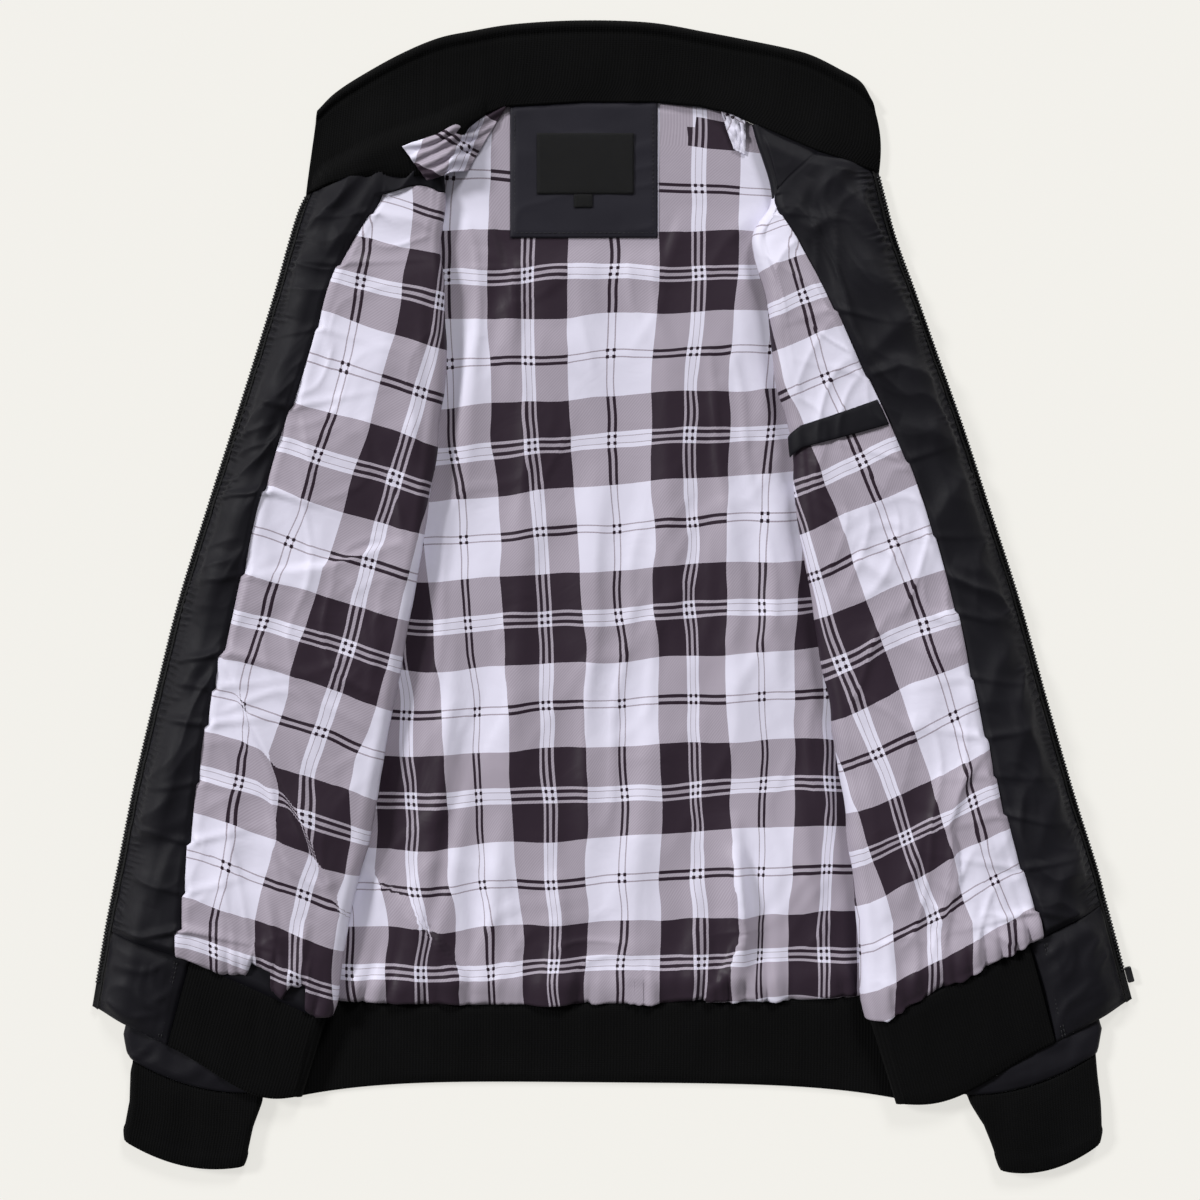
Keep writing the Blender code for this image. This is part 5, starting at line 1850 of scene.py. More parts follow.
    def hem_band(self) -> None:
        """Hem band: a tab of shell cloth beside the zip, then rib round both folds."""
        name = self.form.side.value
        rows = spread((HEM_ROW - 0.9 * SEAM, BAND_ROW, 28))
        start = self.form.station_at(TAPE - 1.2, rows)
        end = self.form.band_seam(rows) - SEAM
        station = start[:, None] + (end - start)[:, None] * np.linspace(0.0, 1.0, 27)[None, :]
        row = np.repeat(rows[:, None], station.shape[1], axis=1)
        points, normals = self.form.face(station, row), self.form.normal(station, row)
        x, y = points[..., 0], points[..., 1]
        soft = layered(TAB_LAYERS[self.form.side], x, y)
        fade = edge_fade(*station.shape, 5.0)
        double_row = np.exp(-((np.arange(27)[None, :] - 22.0) / 1.1) ** 2)
        wall = RIB + (soft + 1.6) * fade - 0.9 * double_row * fade
        wall = wall * (0.55 + 0.45 * edge_fade(*station.shape, 1.5))
        sheet = Sheet(f"{name}_tab_cloth", points, normals, wall, self.wardrobe.shell)
        self.tailor.sheet(sheet, f"{name}_hem_tab", "shell", "laid", (f"{name}_sleeve",))

        width = abs(float(self.form.value(HEM_ROW, "fold_x") - self.form.value(HEM_ROW, "seam_x")))
        ribs = round(width / RIB_PITCH)
        hidden_ribs = round(HIDDEN_RIB / RIB_PITCH)
        across = spread((1.0, 2.0, 2 * ribs), (2.0, 3.0, 14), (3.0, 4.0, 2 * hidden_ribs),
                        (4.0, 5.0, 8), (5.0, 6.0, 6))
        station, row = np.meshgrid(across, rows)
        seam = self.form.band_seam(row) + SEAM
        station = np.where(station < 2.0, seam + (2.0 - seam) * (station - 1.0), station)
        points, normals = self.form.face(station, row), self.form.normal(station, row)
        wall = rib_wall(points, RIB, SEEDS[self.form.side].rib, station < 2.0)
        sheet = Sheet(f"{name}_band_knit", points, normals, wall, self.wardrobe.rib)
        self.tailor.sheet(sheet, f"{name}_hem_rib", "rib", "folded", (f"{name}_sleeve",))

    def tape(self) -> None:
        """Zip tape, from the collar to the end of the hem band."""
        rows = spread((0.0, 1.0, 14), (1.0, BAND_ROW, 300))
        distance = np.array([0.0, 1.0, 1.8, 2.6, 3.4, 4.2, 4.8, TAPE])
        station = self.form.station_at(distance[None, :], rows[:, None])
        row = np.repeat(rows[:, None], station.shape[1], axis=1)
        points, normals = self.form.face(station, row), self.form.normal(station, row)
        swell = Swell(9.0, 20.0, 0.9, SEEDS[self.form.side].tape)
        wave = swell.relief(points[..., 1], distance[None, :]) * smoothstep(distance / 5.0)[None, :]
        points = points + normals * (LIFT_LINING + wave)[..., None]
        cord = np.where(distance < 1.5, 0.5, 0.0)[None, :]
        name = self.form.side.value
        wall = np.broadcast_to(FACING + cord, station.shape)
        sheet = Sheet(f"{name}_tape_cloth", points, normals, wall, self.wardrobe.tape)
        self.tailor.sheet(sheet, f"{name}_zip_tape", "zip_tape", "laid", (f"{name}_front_shell",))

    def build(self) -> None:
        """Build the front's pieces."""
        self.shell()
        self.facing()
        self.lining()
        self.hem_band()
        self.tape()


def weave_drift(x: Array, y: Array, slope_x: Array, slope_y: Array, seed: int) -> tuple[Array, Array]:
    """Points whose plaid shows here, as creases and ease pull the weave about.

    Args:
        x: plan coordinate.
        y: plan coordinate.
        slope_x: slope of the creases along X.
        slope_y: slope of the creases along Y.
        seed: start of the random row.

    Returns:
        Plan coordinates in the uncreased cloth.
    """
    ease_x = Swell(45.0, 38.0, 4.0, seed).ease(x, y) + Swell(20.0, 18.0, 1.4, seed + 1).ease(x, y)
    ease_y = Swell(40.0, 45.0, 4.0, seed + 2).ease(x, y) + Swell(18.0, 20.0, 1.4, seed + 3).ease(x, y)
    pull_x, pull_y = (WEAVE_PULL * np.clip(slope, -STEEPEST, STEEPEST) for slope in (slope_x, slope_y))
    return x + ease_x + pull_x, y + ease_y + pull_y


@dataclass
class HemBlouse:
    """Gathered end of a lining, which bellies out over the rib before it turns in to the seam."""

    seed: int
    falls: tuple[tuple[float, float], ...]
    spacing: float
    height: float
    reach: float
    uneven_fall: float = 2.2
    hang_reach: float = 9.0
    rise_reach: float = 26.0
    tail_height: float = 3.4
    tail_reach: float = 24.0

    def gather(self, along: Array) -> Array:
        """Ridges of the gathers, from 0 in a tuck to 1 on a belly."""
        wander = SoftNoise(self.seed + 40).at(along / 30.0, 0.0 * along) * 2.6
        size = SoftNoise(self.seed + 41).at(along / 21.0, 0.0 * along)
        phase = along / self.spacing + wander
        return np.abs(np.sin(math.pi * phase)) ** 0.6 * (0.25 + 0.85 * size)

    def overhang(self, along: Array, above: Array) -> Array:
        """How far the cloth hangs down over the rib.

        Args:
            along: place along the hem.
            above: distance above the seam.

        Returns:
            The overhang.
        """
        places, falls = np.array(self.falls).T
        fall = np.interp(along, places, falls) + self.uneven_fall * (self.gather(along) - 0.5)
        hanging = np.maximum(fall, 0.0) * np.exp(-above / self.hang_reach) * smoothstep(above / 2.6)
        return hanging + np.minimum(fall, 0.0) * np.exp(-above / self.rise_reach)

    def swell(self, along: Array, above: Array) -> Array:
        """Height of the belly and of the gathers above it.

        Args:
            along: place along the hem.
            above: distance above the seam.

        Returns:
            The height.
        """
        gather = self.gather(along + 0.12 * above * np.sin(along / 23.0))
        belly = self.height * (0.35 + 0.65 * gather) * np.exp(-(((above - 6.0) / self.reach) ** 2))
        tails = self.tail_height * (gather - 0.25) * np.exp(-above / self.tail_reach)
        return (belly + np.maximum(tails, 0.0)) * smoothstep((above + 0.6) / 3.0)


def rib_wall(points: Array, wall: float, seed: int, shown: Array | float = 1.0) -> Array:
    """Wall of a rib knit: fine ridges every second column, and soft waves.

    Args:
        points: the hidden face.
        wall: thickness in the grooves.
        seed: start of the random row.
        shown: where the waves are.

    Returns:
        Thickness at each point.
    """
    rows, columns = points.shape[:2]
    ridge = np.where(np.arange(columns) % 2 == 0, RIB_RIDGE, 0.0)[None, :]
    x, y = points[..., 0], points[..., 1]
    wave = layered((Swell(16.0, 40.0, 1.5, seed), Swell(7.0, 50.0, 0.6, seed + 1)), x, y)
    fade = edge_fade(rows, columns, 3.0, "tb")
    return wall + ridge + wave * fade * shown


@dataclass
class BackPanel:
    """Back shell on the floor, its gathered lining and the back of the hem band."""

    form: BackForm
    wardrobe: Wardrobe
    tailor: Tailor

    def shell(self) -> None:
        """Back shell, flat where it rests."""
        rows = spread((0.0, 1.0, 8), (1.0, HEM_ROW - SEAM, 70))
        share = np.linspace(0.0, 1.0, 48)
        row = np.repeat(rows[:, None], len(share), axis=1)
        left, right = self.form.left.foot_x(row), self.form.right.foot_x(row)
        x, y = self.form.plan(left + (right - left) * share[None, :], row)
        points = stack(x, y, np.zeros_like(x))
        sheet = Sheet("back_shell_cloth", points, up(points), SHELL, self.wardrobe.shell)
        self.tailor.sheet(sheet, "back_shell", "shell", "laid", ())

    def lining(self) -> None:
        """Back lining, with soft upright folds and gathers at the hem."""
        rows = spread((0.0, 1.0, 14), (1.0, LEVEL_ROW, 112), (LEVEL_ROW, 10.3, 44),
                      (10.3, HEM_ROW - SEAM, 50))
        share = np.linspace(0.0, 1.0, 144)
        row = np.repeat(rows[:, None], len(share), axis=1)
        hem = np.full_like(row, HEM_ROW)
        hem_left = self.form.left.value(hem, "fold_x") - HIDDEN_LINING
        hem_right = self.form.right.value(hem, "fold_x") + HIDDEN_LINING
        hem_x = hem_left + (hem_right - hem_left) * share[None, :]
        blouse = HemBlouse(BACK_HEM_SEED, HEM_FALLS["back"], 19.0, 4.5, 12.0)
        above_hem = (HEM_ROW - row) * HEM_ROW_LENGTH
        row = row + blouse.overhang(hem_x, above_hem) / HEM_ROW_LENGTH
        left = self.form.left.value(row, "fold_x") - HIDDEN_LINING
        right = self.form.right.value(row, "fold_x") + HIDDEN_LINING
        x, y = self.form.plan(left + (right - left) * share[None, :], row)
        clear = np.minimum(x - left - HIDDEN_LINING, right - HIDDEN_LINING - x)
        wave = crease_relief(BACK_CREASES, x, y) * 1.5
        wave = (wave + layered(BACK_LAYERS, x, y)) * smoothstep(above_hem / 14.0)
        inside = smoothstep((clear - 1.0) / 16.0)
        inside = inside * smoothstep((PATCH_BOTTOM - 2.0 - y) / 26.0 + outside_patch(x))
        inside = inside * smoothstep((330.0 - y) / 20.0)
        slope_x = np.gradient(wave * inside, axis=1) / np.gradient(x, axis=1)
        slope_y = np.gradient(wave * inside, axis=0) / np.minimum(np.gradient(y, axis=0), -0.1)
        drift_x, drift_y = weave_drift(x, y, slope_x, slope_y, BACK_DRIFT_SEED)
        shift_x, shift_y = crease_shift(BACK_CREASES, x, y)
        plaid = self.form.plaid(drift_x + shift_x, drift_y + shift_y)
        wave = wave + blouse.swell(hem_x, above_hem)
        points = stack(x, y, LIFT_LINING + wave * inside)
        wall = LINING * (0.5 + 0.5 * edge_fade(*x.shape, 2.0))
        sheet = Sheet("back_lining_cloth", points, grid_normals(points), wall, self.wardrobe.lining,
                      plaid=plaid)
        self.tailor.sheet(sheet, "back_lining", "lining", "laid", ("back_shell",))

    def hem_rib(self) -> None:
        """Back of the hem band."""
        width = float(self.form.right.foot_x(HEM_ROW) - self.form.left.foot_x(HEM_ROW))
        columns = 2 * round(width / RIB_PITCH)
        rows = spread((HEM_ROW - 0.9 * SEAM, BAND_ROW, 30))
        row = np.repeat(rows[:, None], columns + 1, axis=1)
        left, right = self.form.left.foot_x(row), self.form.right.foot_x(row)
        x, y = self.form.plan(left + (right - left) * np.linspace(0.0, 1.0, columns + 1)[None, :], row)
        points = stack(x, y, np.zeros_like(x))
        shown = smoothstep((x + 190.0) / 30.0) * smoothstep((172.0 - x) / 30.0)
        wall = rib_wall(points, RIB, BACK_RIB_SEED, shown)
        sheet = Sheet("back_band_knit", points, up(points), wall, self.wardrobe.rib)
        self.tailor.sheet(sheet, "back_hem_rib", "rib", "laid", ())

    def build(self) -> None:
        """Build the back's pieces."""
        self.shell()
        self.lining()
        self.hem_rib()


def up(points: Array) -> Array:
    """Normals that point straight up."""
    normals = np.zeros_like(points)
    normals[..., 2] = 1.0
    return normals


def outside_patch(x: Array) -> Array:
    """Above 0 beside the neck patch, so that the lining's folds run on there."""
    return smoothstep((PATCH_LEFT - 2.0 - x) / 14.0) + smoothstep((x - PATCH_RIGHT - 2.0) / 14.0)


@dataclass
class RibCollar:
    """Rib collar, opened flat, with its rolled edge and the stitch line below it."""

    wardrobe: Wardrobe
    tailor: Tailor
    bow: float = 3.0
    roll_width: float = 7.0
    roll_height: float = 2.2
    line_at: float = 9.5

    def build(self) -> None:
        """Build the collar."""
        table = Table(COLLAR_RIBS)
        count = len(COLLAR_RIBS) - 1
        columns = 2 * round(COLLAR_RUN / RIB_PITCH)
        down = spread((-COLLAR_LAP, 0.0, 6), (0.0, 1.0, 32))
        position, share = np.meshgrid(np.linspace(0.0, count, columns + 1), down)
        seam_x = np.clip(table.read(position, "seam_x"), NECK_SEAM[0].x, NECK_SEAM[-1].x)
        edge_x, edge_y = table.read(position, "edge_x"), table.read(position, "edge_y")
        seam_z = np.maximum(0.0, table.read(position, "seam_z"))
        seam_y = neck_y(seam_x)
        x = seam_x + (edge_x - seam_x) * np.maximum(share, 0.0)
        places, falls, levels = zip(*COLLAR_FALL)
        lap, top = np.interp(seam_x, places, falls), np.interp(seam_x, places, levels)
        below = np.clip(-share / COLLAR_LAP, 0.0, 1.0)
        y = seam_y + (edge_y - seam_y) * np.maximum(share, 0.0) - np.maximum(lap, LEAST_LAP) * below
        x = x + self.bow * np.sin(math.pi * np.maximum(share, 0.0)) * smoothstep(position - count + 1)
        z = seam_z * (1.0 - smoothstep(np.maximum(share, 0.0) * 1.25))
        fallen = smoothstep((share + COLLAR_LAP) / -COLLAR_LAP + 2.0) * smoothstep(lap / 3.0)
        z = z + (top - seam_z) * fallen
        points = stack(x, y, z)
        normals = grid_normals(points)
        wall = rib_wall(points, COLLAR, COLLAR_SEED)
        from_edge = np.hypot(edge_x - x, edge_y - y)
        half = self.roll_width / 2
        roll = np.sqrt(np.clip(1.0 - ((from_edge - half) / half) ** 2, 0.0, 1.0))
        wall = wall + self.roll_height * roll - 0.7 * np.exp(-(((from_edge - self.line_at) / 1.2) ** 2))
        wall = wall * (0.7 + 0.3 * edge_fade(*x.shape, 2.0))
        broad = Swell(60.0, 40.0, 1.2, COLLAR_SEED + 6).relief(x, y)
        wall = wall + broad * edge_fade(*x.shape, 6.0)
        sheet = Sheet("collar_knit", points, normals, wall, self.wardrobe.rib)
        self.tailor.sheet(sheet, "collar", "rib", "laid", ())


@dataclass
class SleeveEnd:
    """One sleeve, flattened under its front, and its rib cuff."""

    side: Side
    wardrobe: Wardrobe
    tailor: Tailor
    bow: float = 8.5

    def tube(self, rings: tuple[SleeveRing, ...], steps: int, flat: int, bend: int,
             bowed_from: int) -> tuple[Array, Array, Array]:
        """Points of a flattened tube, its first column repeated at the end.

        Args:
            rings: the tube's rings.
            steps: rows between two rings.
            flat: columns across the top or the underside.
            bend: columns round one edge.
            bowed_from: ring from which the rows bow down the sleeve.

        Returns:
            Points, place across the top from -1 to 1, and height share.
        """
        ring = np.linspace(0.0, len(rings) - 1, (len(rings) - 1) * steps + 1)
        value = {}
        for key in ("outer_x", "outer_y", "inner_x", "inner_y", "base", "height"):
            column = [getattr(one, key) for one in rings]
            value[key] = np.interp(ring, np.arange(len(rings)), column)[:, None]
        radius = value["height"] / 2
        half = np.hypot(value["inner_x"] - value["outer_x"], value["inner_y"] - value["outer_y"]) / 2
        level = half - radius
        top_across = np.linspace(-1.0, 1.0, flat + 1)[None, :]
        turn = np.linspace(0.0, math.pi, bend + 1)[None, 1:-1]
        across = np.concatenate([level * top_across, level + radius * np.sin(turn), -level * top_across,
                                 -level - radius * np.sin(turn), -level], axis=1)
        rise = np.concatenate([radius + 0 * top_across, radius * np.cos(turn), -radius + 0 * top_across,
                               -radius * np.cos(turn), radius], axis=1)
        way_x = (value["inner_x"] - value["outer_x"]) / (2 * half)
        way_y = (value["inner_y"] - value["outer_y"]) / (2 * half)
        x = (value["outer_x"] + value["inner_x"]) / 2 + way_x * across
        y = (value["outer_y"] + value["inner_y"]) / 2 + way_y * across
        bowed = smoothstep(ring - bowed_from + 1.0)[:, None]
        y = y - self.bow * bowed * (1.0 - (across / half) ** 2)
        return stack(x, y, value["base"] + radius + rise), across / half, rise / radius

    def sleeve(self) -> None:
        """Sleeve of shell cloth; only its end shows."""
        points, _, rise = self.tube(SLEEVES[self.side], 10, 30, 8, len(SLEEVES[self.side]) - 1)
        x, y = points[..., 0], points[..., 1]
        shown = smoothstep((-296.0 - y) / 14.0) * smoothstep((rise + 0.9) / 0.8)
        normals = -self.outward(points)
        relief = layered(SLEEVE_LAYERS[self.side], x, y)
        end = smoothstep((len(points) - 1 - np.arange(len(points))[:, None]) / 2.5)
        points = points - normals * (relief * shown * end)[..., None]
        name = self.side.value
        sheet = Sheet(f"{name}_sleeve_cloth", points, normals, SLEEVE_WALL, self.wardrobe.shell,
                      closed=True)
        self.tailor.sheet(sheet, f"{name}_sleeve", "shell", "folded", (f"{name}_front_shell",))

    def cuff(self) -> None:
        """Rib cuff."""
        flat = 2 * round(84.0 / RIB_PITCH)
        points, _, rise = self.tube(CUFFS[self.side], 12, flat, 10, 0)
        x, y = points[..., 0], points[..., 1]
        normals = -self.outward(points)
        top = smoothstep((rise + 0.2) / 0.6)
        ridge = np.where(np.arange(points.shape[1]) % 2 == 0, 0.0, -RIB_RIDGE)[None, :]
        wave = Swell(14.0, 40.0, 1.8, SEEDS[self.side].cuff).relief(x, y)
        end = np.arange(len(points) - 1, -1, -1)[:, None]
        roll = np.sqrt(np.clip(1.0 - ((end - 2.5) / 2.5) ** 2, 0.0, 1.0)) * 0.8
        lift = (wave * edge_fade(*x.shape, 4.0, "tb") + roll) * top + ridge * (rise > -0.99)
        points = points - normals * lift[..., None]
        name = self.side.value
        sheet = Sheet(f"{name}_cuff_knit", points, normals, CUFF_WALL, self.wardrobe.rib, closed=True)
        self.tailor.sheet(sheet, f"{name}_cuff", "rib", "folded", ())

    @staticmethod
    def outward(points: Array) -> Array:
        """Normals of a tube, away from its middle."""
        normals = grid_normals(points, closed=True)
        middle = points[:, :-1].mean(axis=1, keepdims=True)
        side = np.sum(normals * (points - middle))
        return normals if side > 0 else -normals

    def build(self) -> None:
        """Build the sleeve and the cuff."""
        self.sleeve()
        self.cuff()


@dataclass
class PocketWelt:
    """Welt of the inner pocket, on the right lining."""

    front: OpenedFront

    def build(self) -> None:
        """Build the welt."""
        form = self.front.form
        across, down = np.meshgrid(np.linspace(0.0, 1.0, 60), np.linspace(0.0, 1.0, 16))
        top_y = WELT_TOP[1] + (WELT_TOP[3] - WELT_TOP[1]) * across
        bottom_y = WELT_BOTTOM[1] + (WELT_BOTTOM[3] - WELT_BOTTOM[1]) * across
        station = WELT_INNER_STATION + (1.0 + 2 * SEAM - WELT_INNER_STATION) * across
        row = form.row_at(np.minimum(station, 2.0), top_y + (bottom_y - top_y) * down)
        points, normals = form.face(station, row), form.normal(station, row)
        lift = LIFT_TRIM + 0.9 + self.front.relief(np.minimum(station, 2.0), row, points)
        points = points + normals * lift[..., None]
        crown = WELT_CROWN * np.exp(-(((down - 0.5) / 0.5) ** 2))
        wall = WELT_WALL * (0.5 + 0.5 * edge_fade(*across.shape, 2.0)) + crown
        sheet = Sheet("pocket_welt_cloth", points, normals, wall, self.front.wardrobe.shell)
        self.front.tailor.sheet(sheet, "pocket_welt", "shell", "laid", ("right_lining",))


@dataclass
class NeckTrim:
    """Neck patch with its bare label and size tab."""

    wardrobe: Wardrobe
    tailor: Tailor

    def flat(self, name: str, node: str, slot: str, material: bpy.types.Material, box: tuple,
             level: float, wall: float, under: str, cells: tuple[int, int], wave: float) -> None:
        """Build a small flat piece.

        Args:
            name: the piece's name.
            node: the node that it replaces.
            slot: the record's material slot.
            material: its finish.
            box: left, right, top and bottom.
            level: height of its underside.
            wall: thickness.
            under: node beneath.
            cells: columns and rows.
            wave: height of its soft waves.
        """
        left, right, top, bottom = box
        x, down = np.meshgrid(np.linspace(left, right, cells[0]), np.linspace(0.0, 1.0, cells[1]))
        edge = np.minimum(top, neck_y(x) - GAP)
        y = edge + (bottom - edge) * down
        points = stack(x, y, np.full_like(x, level))
        fade = edge_fade(*x.shape, 3.0)
        soft = layered((Ripple(12.0, 40.0, 14.0, 2.0, wave, PATCH_SEED),
                        Swell(22.0, 18.0, wave, PATCH_SEED + 2)), x, y)
        from_edge = np.minimum(np.minimum(x - left, right - x), y - bottom)
        hem = np.exp(-((from_edge - 2.4) / 0.7) ** 2) * 0.35
        thick = (wall + soft * fade - hem * (wave > 0.3)) * (0.5 + 0.5 * edge_fade(*x.shape, 1.5))
        sheet = Sheet(name, points, up(points), thick, material)
        self.tailor.sheet(sheet, node, slot, "laid", (under,))

    def build(self) -> None:
        """Build the patch, the label and the size tab."""
        self.flat("neck_patch_cloth", "neck_patch", "shell", self.wardrobe.patch,
                  (PATCH_LEFT, PATCH_RIGHT, PATCH_TOP, PATCH_BOTTOM), LIFT_TRIM, PATCH_WALL,
                  "back_lining", (70, 64), 0.5)
        level = LIFT_TRIM + 1.0 + GAP + 0.7
        bottom = LABEL_TOP - LABEL_HEIGHT
        self.flat("neck_label_tape", "neck_label", "label", self.wardrobe.label,
                  (LABEL_X - LABEL_WIDTH / 2, LABEL_X + LABEL_WIDTH / 2, LABEL_TOP, bottom), level,
                  LABEL_WALL, "neck_patch", (40, 26), 0.1)
        self.flat("size_tab_tape", "size_tab", "label", self.wardrobe.label,
                  (SIZE_TAB_X - SIZE_TAB_WIDTH / 2, SIZE_TAB_X + SIZE_TAB_WIDTH / 2, bottom - GAP,
                   bottom - GAP - SIZE_TAB_HEIGHT), level, LABEL_WALL, "neck_patch", (12, 10), 0.1)


@dataclass(frozen=True)
class TuckShape:
    """Lining tucked up at a neck point."""

    seam_start: float
    seam_end: float
    low_start: tuple[float, float]
    low_end: tuple[float, float]
    drop_x: float
    high: tuple[float, float]
    creases: int
    crease_height: float


TUCKS = {
    Side.LEFT: TuckShape(-145.0, -74.0, (-128.0, 284.0), (-101.0, 293.0), -113.0, (17.5, 17.5), 4, 3.6),
    Side.RIGHT: TuckShape(74.0, 91.0, (83.0, 308.0), (91.0, 304.0), 60.0, (3.4, 3.4), 1, 1.8),
}
TUCK_DROP = 14.0
TUCK_LOW = 2.9


@dataclass
class NeckTuck:
    """Crumpled end of the lining where a front is turned back at the neck."""

    form: FrontForm
    wardrobe: Wardrobe
    tailor: Tailor

    def build(self) -> None:
        """Build the tuck."""
        shape = TUCKS[self.form.side]
        across, down = np.meshgrid(np.linspace(0.0, 1.0, 60), np.linspace(0.0, 1.0, 44))
        seam_x = shape.seam_start + (shape.seam_end - shape.seam_start) * across
        low_x = shape.low_start[0] + (shape.low_end[0] - shape.low_start[0]) * across
        low_y = shape.low_start[1] + (shape.low_end[1] - shape.low_start[1]) * across
        edge_y = neck_y(seam_x) - GAP
        x, y = seam_x + (low_x - seam_x) * down, edge_y + (low_y - edge_y) * down
        high = shape.high[0] + (shape.high[1] - shape.high[0]) * down
        z = high + (TUCK_LOW - high) * smoothstep((x - shape.drop_x) / TUCK_DROP)
        phase = shape.creases * (down + 0.12 * SoftNoise(TUCK_SEED).at(across * 5.0, down * 3.0))
        crease = (0.5 - 0.5 * np.cos(math.tau * phase)) ** 1.4
        z = z + shape.crease_height * crease * np.sin(math.pi * (0.1 + 0.8 * across))
        z = z + SoftNoise(TUCK_SEED + 4).at(across * 8.0, down * 6.0) * 1.4
        points = stack(x, y, z)
        plaid = ((x - y * 0.4) / PLAID_REPEAT + 1.2, (-y - x * 0.5) / PLAID_REPEAT + 0.97)
        name = self.form.side.value
        sheet = Sheet(f"{name}_tuck_cloth", points, grid_normals(points), LINING, self.wardrobe.lining,
                      plaid=plaid)
        self.tailor.sheet(sheet, f"{name}_neck_tuck", "lining", "folded", (f"{name}_facing",))


# ---------------------------------------------------------------- hard pieces and sewing


def clear_selection() -> None:
    """Deselect everything, in object mode."""
    for item in bpy.context.view_layer.objects:
        item.select_set(False)


def edit_all(operation: Callable[..., object], **settings: object) -> None:
    """Run an operation on the whole of the active mesh.

    Args:
        operation: one of Blender's mesh operators.
        settings: its settings.
    """
    bpy.ops.object.mode_set(mode="EDIT")
    bpy.ops.mesh.select_all(action="SELECT")
    operation(**settings)
    bpy.ops.mesh.select_all(action="DESELECT")
    bpy.ops.object.mode_set(mode="OBJECT")


def settle(piece: bpy.types.Object) -> None:
    """Put an object's place into its mesh."""
    piece.data.transform(piece.matrix_basis)
    piece.matrix_basis = Matrix.Identity(4)


def strew(name: str, model: bpy.types.Object, places: list[Matrix],
          material: bpy.types.Material) -> bpy.types.Object:
    """Join copies of one modelled shape.

    Args:
        name: the joined piece's name.
        model: the shape, at the origin; it is used up.
        places: where each copy goes, in metres.
        material: its finish.

    Returns:
        The joined piece.
    """
    vertices = np.array([tuple(vert.co) for vert in model.data.vertices])
    faces = [tuple(polygon.vertices) for polygon in model.data.polygons]
    all_vertices, all_faces = [], []
    for index, place in enumerate(places):
        turn = np.array(place)
        all_vertices.append(vertices @ turn[:3, :3].T + turn[:3, 3])
        offset = index * len(vertices)
        all_faces.extend(tuple(corner + offset for corner in face) for face in faces)
    mesh = bpy.data.meshes.new(name)
    mesh.from_pydata(np.concatenate(all_vertices).tolist(), [], all_faces)
    mesh.shade_smooth()
    mesh.materials.append(material)
    piece = bpy.data.objects.new(name, mesh)
    bpy.context.scene.collection.objects.link(piece)
    bpy.data.objects.remove(model, do_unlink=True)
    return piece


def along_line(points: Array, pitch: float) -> tuple[Array, Array]:
    """Even places along a line of points.

    Args:
        points: the line.
        pitch: distance between places.

    Returns:
        Places and unit directions.
    """
    step = np.linalg.norm(np.diff(points, axis=0), axis=1)
    run = np.concatenate([[0.0], np.cumsum(step)])
    at = np.arange(pitch / 2, run[-1], pitch)
    places = np.stack([np.interp(at, run, points[:, axis]) for axis in range(3)], axis=-1)
    ahead = np.stack([np.interp(at + 0.5, run, points[:, axis]) for axis in range(3)], axis=-1)
    behind = np.stack([np.interp(at - 0.5, run, points[:, axis]) for axis in range(3)], axis=-1)
    way = ahead - behind
    return places, way / np.maximum(np.linalg.norm(way, axis=1, keepdims=True), 1e-9)


def frame_at(place: Array, way: Array, upward: Array) -> Matrix:
    """Matrix whose X runs along a way and whose Z is near a given direction.

    Args:
        place: where, in millimetres.
        way: direction of X.
        upward: rough direction of Z.

    Returns:
        The matrix, in metres.
    """
    x = Vector(way).normalized()
    z = Vector(upward)
    z = (z - x * z.dot(x)).normalized()
    y = z.cross(x)
    matrix = Matrix((x, y, z)).transposed().to_4x4()
    matrix.translation = Vector(place) * MM
    return matrix


@dataclass
class ZipTeeth:
    """Moulded teeth along the edge of a zip tape."""

    front: OpenedFront
    length: float = 2.6
    width: float = 1.25
    height: float = 1.5
    bevel: float = 0.3

    def tooth(self) -> bpy.types.Object:
        """Model one tooth: a rounded block with a raised head."""
        clear_selection()
        bpy.ops.mesh.primitive_cube_add(size=MM, location=(0.0, 0.0, 0.0))
        piece = bpy.context.object
        piece.scale = (self.width, self.length, self.height)
        settle(piece)
        edit_all(bpy.ops.mesh.bevel, offset=self.bevel * MM, segments=1, affect="EDGES")
        return piece

    def build(self) -> None:
        """Build the row of teeth."""
        form = self.front.form
        rows = spread((0.12, 1.0, 20), (1.0, BAND_ROW - 0.3, 700))
        zeros = np.zeros_like(rows)
        edge = form.face(zeros, rows) + form.normal(zeros, rows) * (LIFT_LINING + FACING + 0.9)
        places, ways = along_line(edge, TOOTH_PITCH)
        outward = -form.inward
        matrices = []
        for place, way in zip(places, ways):
            side = np.array([way[1], -way[0], 0.0])
            side = side * (1.0 if side[0] * outward > 0 else -1.0)
            matrices.append(frame_at(place - side * 0.7, way, (0.0, 0.0, 1.0)))
        name = f"{form.side.value}_zip_teeth"
        piece = strew(name, self.tooth(), matrices, self.front.wardrobe.tooth)
        self.front.tailor.declare(piece, "zip_tape")


